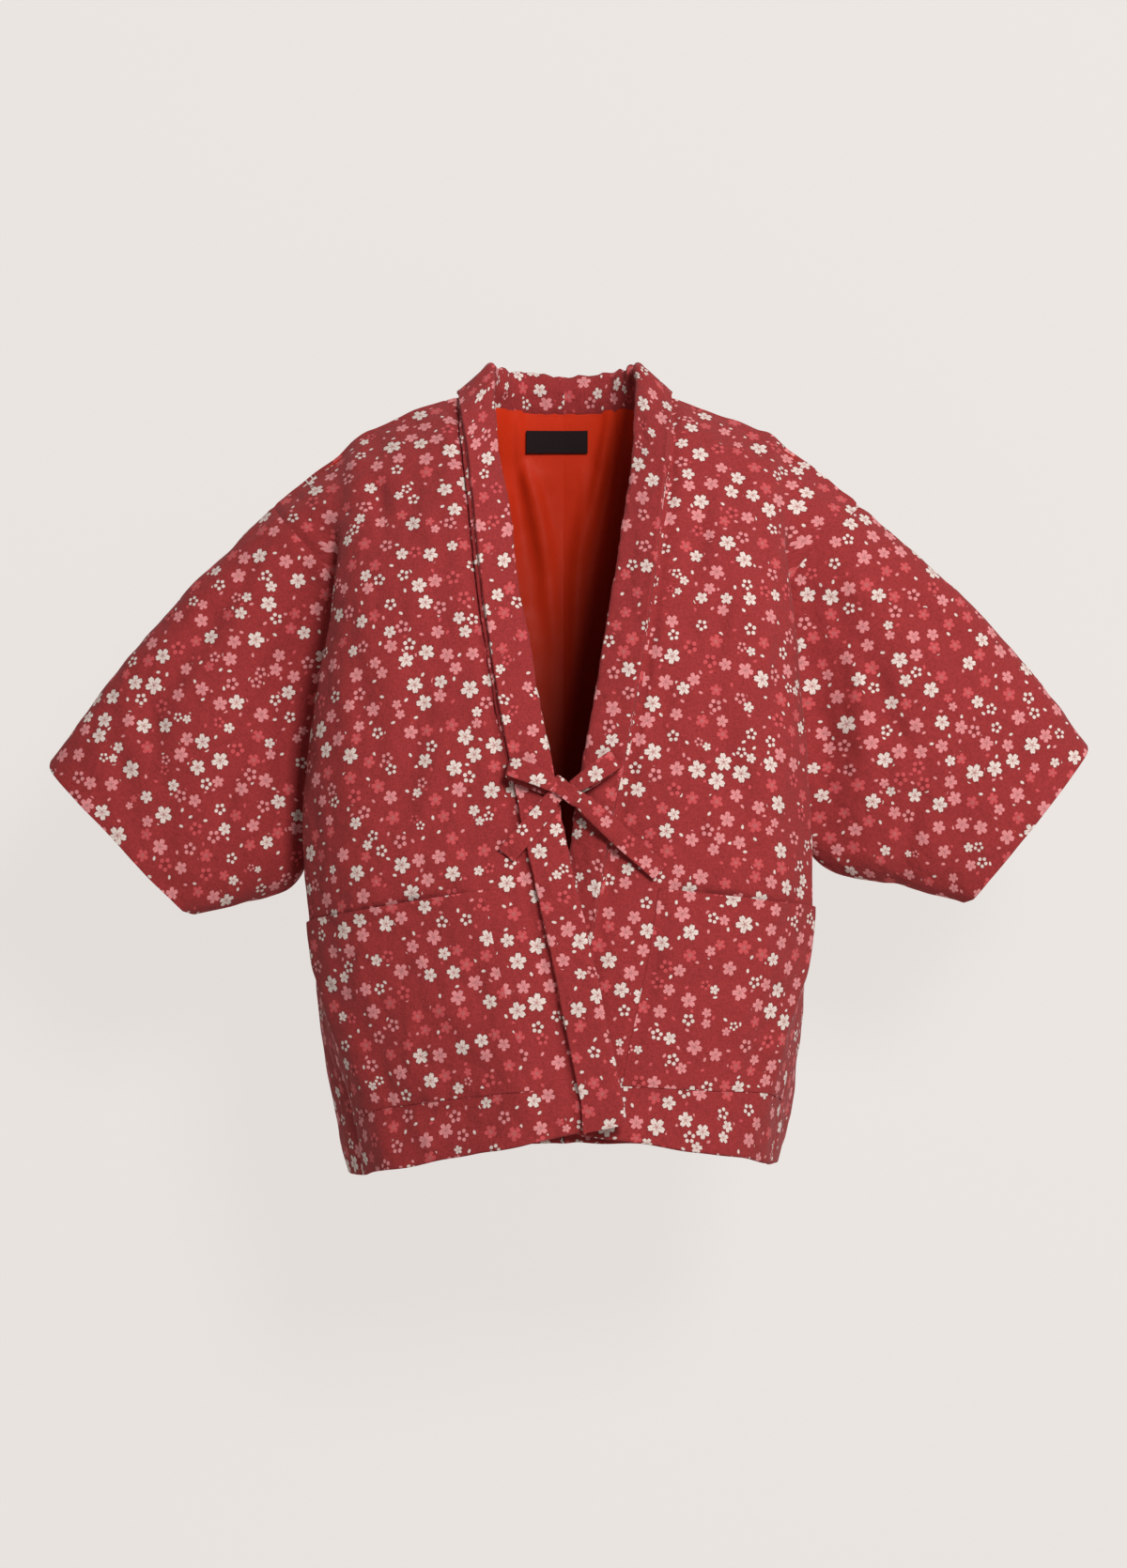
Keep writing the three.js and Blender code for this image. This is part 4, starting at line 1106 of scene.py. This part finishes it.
def dress(context, piece):
    """Print outside, satin inside, and print again inside the hem and cuffs."""
    outer, inner = print_finish(context), lining_finish(context)
    for material in (outer, inner, outer, outer):
        piece.data.materials.append(material)


SHEETS = {}


def body_sheets(side):
    """The outer faces of one half of the jacket, worked out once, with their plain forms and normals."""
    if side in SHEETS:
        return SHEETS[side]
    front = surface(front_control(side), DOWN, ACROSS)
    back = back_sheet(side, front)
    gusset = gusset_sheet(side, front, back)
    sleeve, bottom = sleeve_sheet(side, front, back, gusset)
    plain = {"front": front, "back": back, "gusset": gusset, "sleeve": sleeve}
    normals = {
        "front": grid_normals(front, -side),
        "back": grid_normals(back, side),
        "gusset": grid_normals(gusset, -side),
        "sleeve": grid_normals(sleeve, side, closed=True),
    }
    normals["back"][:, 0, 0] = 0
    share_normals(plain.values(), normals.values())
    seams = [front[:, 0], front[:, -1], back[:, 0], back[:, -1], back[0, : NECK_COLUMNS + 1], gusset[0]]
    tree = seam_tree(seams)
    made = {kind: padded(kind, side, plain[kind], normals[kind], tree) for kind in plain}
    order = np.r_[bottom : sleeve.shape[1], 0 : bottom + 1]
    made["sleeve"] = made["sleeve"][:, order]
    plain["sleeve"] = sleeve[:, order]
    SHEETS[side] = {**made, "plain": plain, "normals": normals, "tree": tree, "top": sleeve.shape[1] - bottom}
    return SHEETS[side]


def padded_piece(context, node, grid, flat, outward, closed=False):
    """A padded panel or sleeve of print lined with satin, with a facing inside its loose edge."""
    facing = edge_distance(grid)[1] < FACING
    piece = make_cloth(node, "_cloth", grid, flat, outward, closed, facing, rim=("bottom",))
    dress(context, piece)
    thicken(piece, context.scene.jacket.wall / MM)
    declare_cloth(piece, node, grid)


def tube(context, node, ending, grid, length, centre):
    """A closed tube of print with filled ends, laid flat by its way round and its length."""
    flat = np.stack([run(grid, 1), np.repeat(length[:, None], grid.shape[1], axis=1)], axis=2) * MM
    piece = make_cloth(node, ending, grid, flat, grid - centre, closed=True, caps=True)
    piece.data.materials.append(print_finish(context))
    stand_for(piece, node)
    return piece


class TwoSided:
    """An operator that makes its pieces for the right side and then for the left."""

    def execute(self, context):
        for side, name in SIDES.items():
            self.make(context, side, name, body_sheets(side))
        return {"FINISHED"}


class JACKET_OT_panels(TwoSided, bpy.types.Operator):
    """Makes the padded fronts, backs and side gussets"""

    bl_idname = "jacket.panels"
    bl_label = "Fronts, backs and gussets"

    def make(self, context, side, name, sheets):
        for part, sign in (("front", -side), ("back", side), ("side_gusset", -side)):
            key = part.removeprefix("side_")
            grid, plain = sheets[key], sheets["plain"][key]
            start = plain[:, 0, 0] * side * (key != "gusset")
            flat = flat_places(plain, side, start)
            padded_piece(context, f"{part}_{name}", grid, flat, grid_normals(grid, sign))


class JACKET_OT_sleeves(TwoSided, bpy.types.Operator):
    """Makes the wide padded sleeves"""

    bl_idname = "jacket.sleeves"
    bl_label = "Sleeves"

    def make(self, context, side, name, sheets):
        grid, plain, top = sheets["sleeve"], sheets["plain"]["sleeve"], sheets["top"]
        out, down = SLEEVE_HANG
        along = np.array([side * out, 0, down])
        round_front = np.array([side * down, 0, -out])
        u = widths(plain, round_front)
        u = u - u[:, top : top + 1] + (plain[:, top] @ round_front)[:, None]
        flat = np.stack([u, plain @ along], axis=2) * MM
        padded_piece(context, f"sleeve_{name}", grid, flat, grid_normals(grid, side), closed=True)


class JACKET_OT_collar(TwoSided, bpy.types.Operator):
    """Makes the padded band collar"""

    bl_idname = "jacket.collar"
    bl_label = "Band collar"

    def make(self, context, side, name, sheets):
        grid, length = band_grid(side, sheets["front"], sheets["back"])
        centre = grid[:, :-1].mean(axis=1, keepdims=True)
        piece = tube(context, f"collar_{name}", "_band", grid, length, centre)


def on_grid(grid, across, down):
    """Points of a fine grid at places counted in sections across and down."""
    u = np.clip(across * ACROSS, 0, grid.shape[1] - 1.001)
    v = np.clip(down * DOWN, 0, grid.shape[0] - 1.001)
    i, j = v.astype(int), u.astype(int)
    p, q = (v - i)[..., None], (u - j)[..., None]
    low = grid[i, j] * (1 - q) + grid[i, j + 1] * q
    high = grid[i + 1, j] * (1 - q) + grid[i + 1, j + 1] * q
    return low * (1 - p) + high * p


class JACKET_OT_pockets(TwoSided, bpy.types.Operator):
    """Makes the two patch pockets"""

    bl_idname = "jacket.pockets"
    bl_label = "Patch pockets"

    def make(self, context, side, name, sheets):
        corners = POCKET[side]
        s, t = np.meshgrid(np.linspace(0, 1, POCKET_COLUMNS + 1), np.linspace(0, 1, POCKET_ROWS + 1))
        across = mix(corners["mouth_in"][0], corners["mouth_out"][0], s)
        mouth = mix(corners["mouth_in"][1], corners["mouth_out"][1], s)
        low = mix(corners["low_in"][1], corners["low_out"][1], s)
        down = mix(mouth, low, t)
        base = on_grid(sheets["plain"]["front"], across, down)
        normals = on_grid(sheets["normals"]["front"], across, down)
        near = seam_distance(base, sheets["tree"])
        fold = crease_depth(CREASES["front"], side, base) * risen(near, CREASE_FADE)
        panel = padded_relief(base, near) - np.where(fold > 0, fold * risen(t, POCKET_PUFF["lip"]), fold)
        puff = POCKET_PUFF["mouth"] * np.sin(math.pi * s) ** 1.2 * (1 - t) ** 0.7
        sewn = np.minimum.reduce([s, 1 - s, 1 - t + 0.0 * s]) * POCKET_PUFF["size"]
        height = puff + POCKET_PUFF["edge"] * risen(sewn, POCKET_PUFF["edge_reach"])
        puckers = POCKET_PUFF["pucker"] * wander(base, POCKET_PUFF["pucker_size"], 5)
        height += puckers * np.exp(-sewn / POCKET_PUFF["pucker_reach"])
        height = np.maximum(height, 0) + POCKET_CLEARANCE + POCKET_WALL + panel
        grid = base + normals * height[..., None]
        node = f"pocket_{name}"
        flat = flat_places(base, side, base[:, 0, 0] * side)
        piece = make_cloth(node, "_patch", grid, flat, normals, rim=("top", "bottom"))
        dress(context, piece)
        thicken(piece, POCKET_WALL)
        declare_cloth(piece, node, grid)


class JACKET_OT_lining(TwoSided, bpy.types.Operator):
    """Makes the satin lining of the back, and the bare label"""

    bl_idname = "jacket.lining"
    bl_label = "Back lining and label"

    def execute(self, context):
        super().execute(context)
        self.make_label()
        return {"FINISHED"}

    def make(self, context, side, name, sheets):
        columns, rows = int(LINING["columns"] * LINING_ACROSS), int(LINING["last"] * LINING_DOWN)
        across, down = np.meshgrid(
            np.linspace(0, LINING["columns"], columns + 1), np.linspace(0, LINING["last"], rows + 1)
        )
        base = on_grid(sheets["plain"]["back"], across, down)
        normals = on_grid(sheets["normals"]["back"], across, down)
        normals[:, 0, 0] = 0
        depth = self.fold_depth(side, base, across, down)
        beside = np.abs(base[..., 0] - (LABEL["left"] + LABEL["right"]) / 2) - LABEL_REST["half"]
        below = (LABEL["bottom"] - base[..., 2]) / LABEL_REST["below"]
        free = np.clip(np.maximum(beside / LABEL_REST["beside"], below), 0, 1)
        depth = np.clip(depth, 0, LINING["most"]) * np.clip(across / 0.35 + 0.25, 0, 1) * free
        sunk = np.maximum(pressed("back", side, base, seam_distance(base, sheets["tree"])), 0)
        inward = WALL + LINING["clearance"] + depth + sunk * free
        grid = base - normals * inward[..., None]
        grid[:, 0, 0] = 0
        grid[0, :, 2] += LINING["tuck"]
        node = f"lining_back_{name}"
        flat = flat_places(grid, side, grid[:, 0, 0] * side)
        piece = make_cloth(node, "_satin", grid, flat, -normals)
        piece.data.materials.append(lining_finish(context))
        give_wall(piece, LINING["wall"], 1)
        declare_cloth(piece, node, grid)

    def fold_depth(self, side, base, across, down):
        """How far the lining stands off the back: fine ripples, and the folds that fan in."""
        ripple = 0.5 + 0.5 * np.cos(side * across * 2.1 + 0.5 * np.sin(down * 0.8 + across))
        top, edge = risen(down, 2), risen(LINING["columns"] - across, 2)
        depth = LINING["fold"] * ripple * top * edge
        x, z = side * base[..., 0], base[..., 2]
        for fold in LINING_FOLDS:
            if fold["side"] == side:
                share = np.clip((fold["top_z"] - z) / (fold["top_z"] - fold["low_z"]), 0, 1)
                off = (x - mix(fold["top_x"], fold["low_x"], share)) / (fold["width"] * mix(0.7, 1.5, share))
                depth += fold["depth"] * (hump(off, 1) * np.sin(math.pi * np.clip(share + 0.12, 0, 1)))
        return depth + 0.8 * wander(base, 16, 40 + side) * top * edge

    def make_label(self):
        s, t = np.meshgrid(np.linspace(0, 1, 41), np.linspace(0, 1, 17))
        x = mix(LABEL["right"], LABEL["left"], s)
        z = mix(LABEL["top"], LABEL["bottom"], t)
        y = LABEL["y"] + (LABEL["top"] - z) * LABEL["slope"] - LABEL["bow"] * (x / LABEL["left"]) ** 2
        grid = np.stack([x, y, z], axis=2)
        outward = np.zeros(grid.shape)
        outward[..., 1] = -1
        piece = make_cloth("label", "_ribbon_strip", grid, np.stack([x, z], axis=2) * MM, outward)
        piece.data.materials.append(woven_label("woven_label"))
        give_wall(piece, LABEL["wall"], 1)
        round_edges(piece, LABEL["round"], 2)
        declare_cloth(piece, "label", grid)


class JACKET_OT_tie(bpy.types.Operator):
    """Makes the bow tie: two loops, two tails and the wrap between them"""

    bl_idname = "jacket.tie"
    bl_label = "Bow tie"

    def execute(self, context):
        for k, (node, stations) in enumerate(RIBBONS.items()):
            rows = np.array([list(station.values()) for station in stations], float)
            fine = section_weights(len(rows), RIBBON_STEPS) @ rows
            middle, across, width = fine[:, :3], fine[:, 3:6], fine[:, 6]
            along = np.gradient(middle, axis=0)
            along /= np.linalg.norm(along, axis=1, keepdims=True)
            across = across - np.sum(across * along, axis=1, keepdims=True) * along
            across /= np.linalg.norm(across, axis=1, keepdims=True)
            up = np.cross(along, across)
            turn = np.linspace(0, 2 * math.pi, RIBBON_AROUND + 1)
            flatness = np.sign(np.cos(turn)) * np.abs(np.cos(turn)) ** 0.55
            lift = np.sign(np.sin(turn)) * np.abs(np.sin(turn)) ** 0.8
            wave = 0.9 * np.sin(np.linspace(0, 9, len(middle)) + k)[:, None] * np.abs(flatness) ** 2
            grid = middle[:, None] + across[:, None] * (flatness * width[:, None] / 2)[..., None]
            grid = grid + up[:, None] * (lift * RIBBON_WALL / 2 + wave * 0.5)[..., None]
            length = run(middle)
            piece = tube(context, node, "_ribbon", grid, length, middle[:, None])
            size = float(width.mean() + RIBBON_WALL) * MM
        return {"FINISHED"}


class JACKET_OT_stage(bpy.types.Operator):
    """Makes the floor, the backdrop, the lights and the camera"""

    bl_idname = "jacket.stage"
    bl_label = "Stage"

    def execute(self, context):
        settings = context.scene.jacket_stage
        pale = (*settings.backdrop, 1)
        floor = plaster("stage_floor_paint", scaled(pale, 0.62), 0.15)
        wall = plaster("stage_wall_paint", pale, settings.glow)
        self.sheet("stage_floor", (0, STAGE["floor_y"], STAGE["floor_z"]), (0, 0, 0), floor)
        self.sheet("stage_wall", (0, STAGE["wall_y"], 0.0), (math.pi / 2, 0, 0), wall)
        self.light("key_light", (2.4, -2.4, 1.5), 1.6, settings.key)
        self.light("front_light", (1.0, -3.4, 1.2), 0.9, settings.front)
        world = bpy.data.worlds.new("soft_room")
        world.use_nodes = True
        sky = world.node_tree.nodes["Background"]
        sky.inputs["Color"].default_value = (1, 0.985, 0.97, 1)
        sky.inputs["Strength"].default_value = settings.fill
        context.scene.world = world
        context.scene.view_settings.view_transform = "Standard"
        lens = bpy.data.cameras.new("photo_camera")
        lens.sensor_width = STAGE["sensor"]
        lens.lens = STAGE["sensor"] * settings.camera_distance / (PHOTO["tall"] / PHOTO["pixels_per_mm"] * MM)
        lens.clip_end = STAGE["clip"]
        place = (0, -settings.camera_distance, PHOTO["middle_z"])
        context.scene.camera = self.add("photo_camera", lens, place, (math.pi / 2, 0, 0))
        return {"FINISHED"}

    def add(self, name, data, place, turn):
        piece = bpy.data.objects.new(name, data)
        piece.location = place
        piece.rotation_euler = turn
        bpy.context.scene.collection.objects.link(piece)
        return piece

    def sheet(self, name, place, turn, paint):
        mesh = bpy.data.meshes.new(name)
        shape = bmesh.new()
        bmesh.ops.create_grid(shape, x_segments=2, y_segments=2, size=STAGE["size"])
        shape.to_mesh(mesh)
        shape.free()
        mesh.materials.append(paint)
        self.add(name, mesh, place, turn)

    def light(self, name, place, size, power):
        lamp = bpy.data.lights.new(name, "AREA")
        lamp.size = size
        lamp.energy = power
        lamp.color = (1, 0.985, 0.965)
        aim = Vector((0, 0, -0.36)) - Vector(place)
        self.add(name, lamp, place, aim.to_track_quat("-Z", "Y").to_euler())


OPERATORS = (
    JACKET_OT_panels, JACKET_OT_sleeves, JACKET_OT_collar, JACKET_OT_pockets, JACKET_OT_lining,
    JACKET_OT_tie, JACKET_OT_stage,
)


class JACKET_PT_panel(bpy.types.Panel):
    """Lists the jacket's pieces and settings"""

    bl_label = "Padded jacket"
    bl_idname = "JACKET_PT_panel"
    bl_space_type = "VIEW_3D"
    bl_region_type = "UI"
    bl_category = "Jacket"

    def draw(self, context):
        for group in (context.scene.jacket, context.scene.jacket_stage):
            for name in group.__annotations__:
                self.layout.prop(group, name)
        for operator in OPERATORS:
            self.layout.operator(operator.bl_idname)


CLASSES = (JacketSettings, StageSettings, *OPERATORS, JACKET_PT_panel)


def register():
    for one in CLASSES:
        bpy.utils.register_class(one)
    bpy.types.Scene.jacket = bpy.props.PointerProperty(type=JacketSettings)
    bpy.types.Scene.jacket_stage = bpy.props.PointerProperty(type=StageSettings)


def unregister():
    del bpy.types.Scene.jacket_stage
    del bpy.types.Scene.jacket
    for one in reversed(CLASSES):
        bpy.utils.unregister_class(one)


def main():
    register()
    bpy.ops.jacket.panels()
    bpy.ops.jacket.sleeves()
    bpy.ops.jacket.collar()
    bpy.ops.jacket.pockets()
    bpy.ops.jacket.lining()
    bpy.ops.jacket.tie()
    bpy.ops.jacket.stage()


if __name__ == "__main__":
    main()
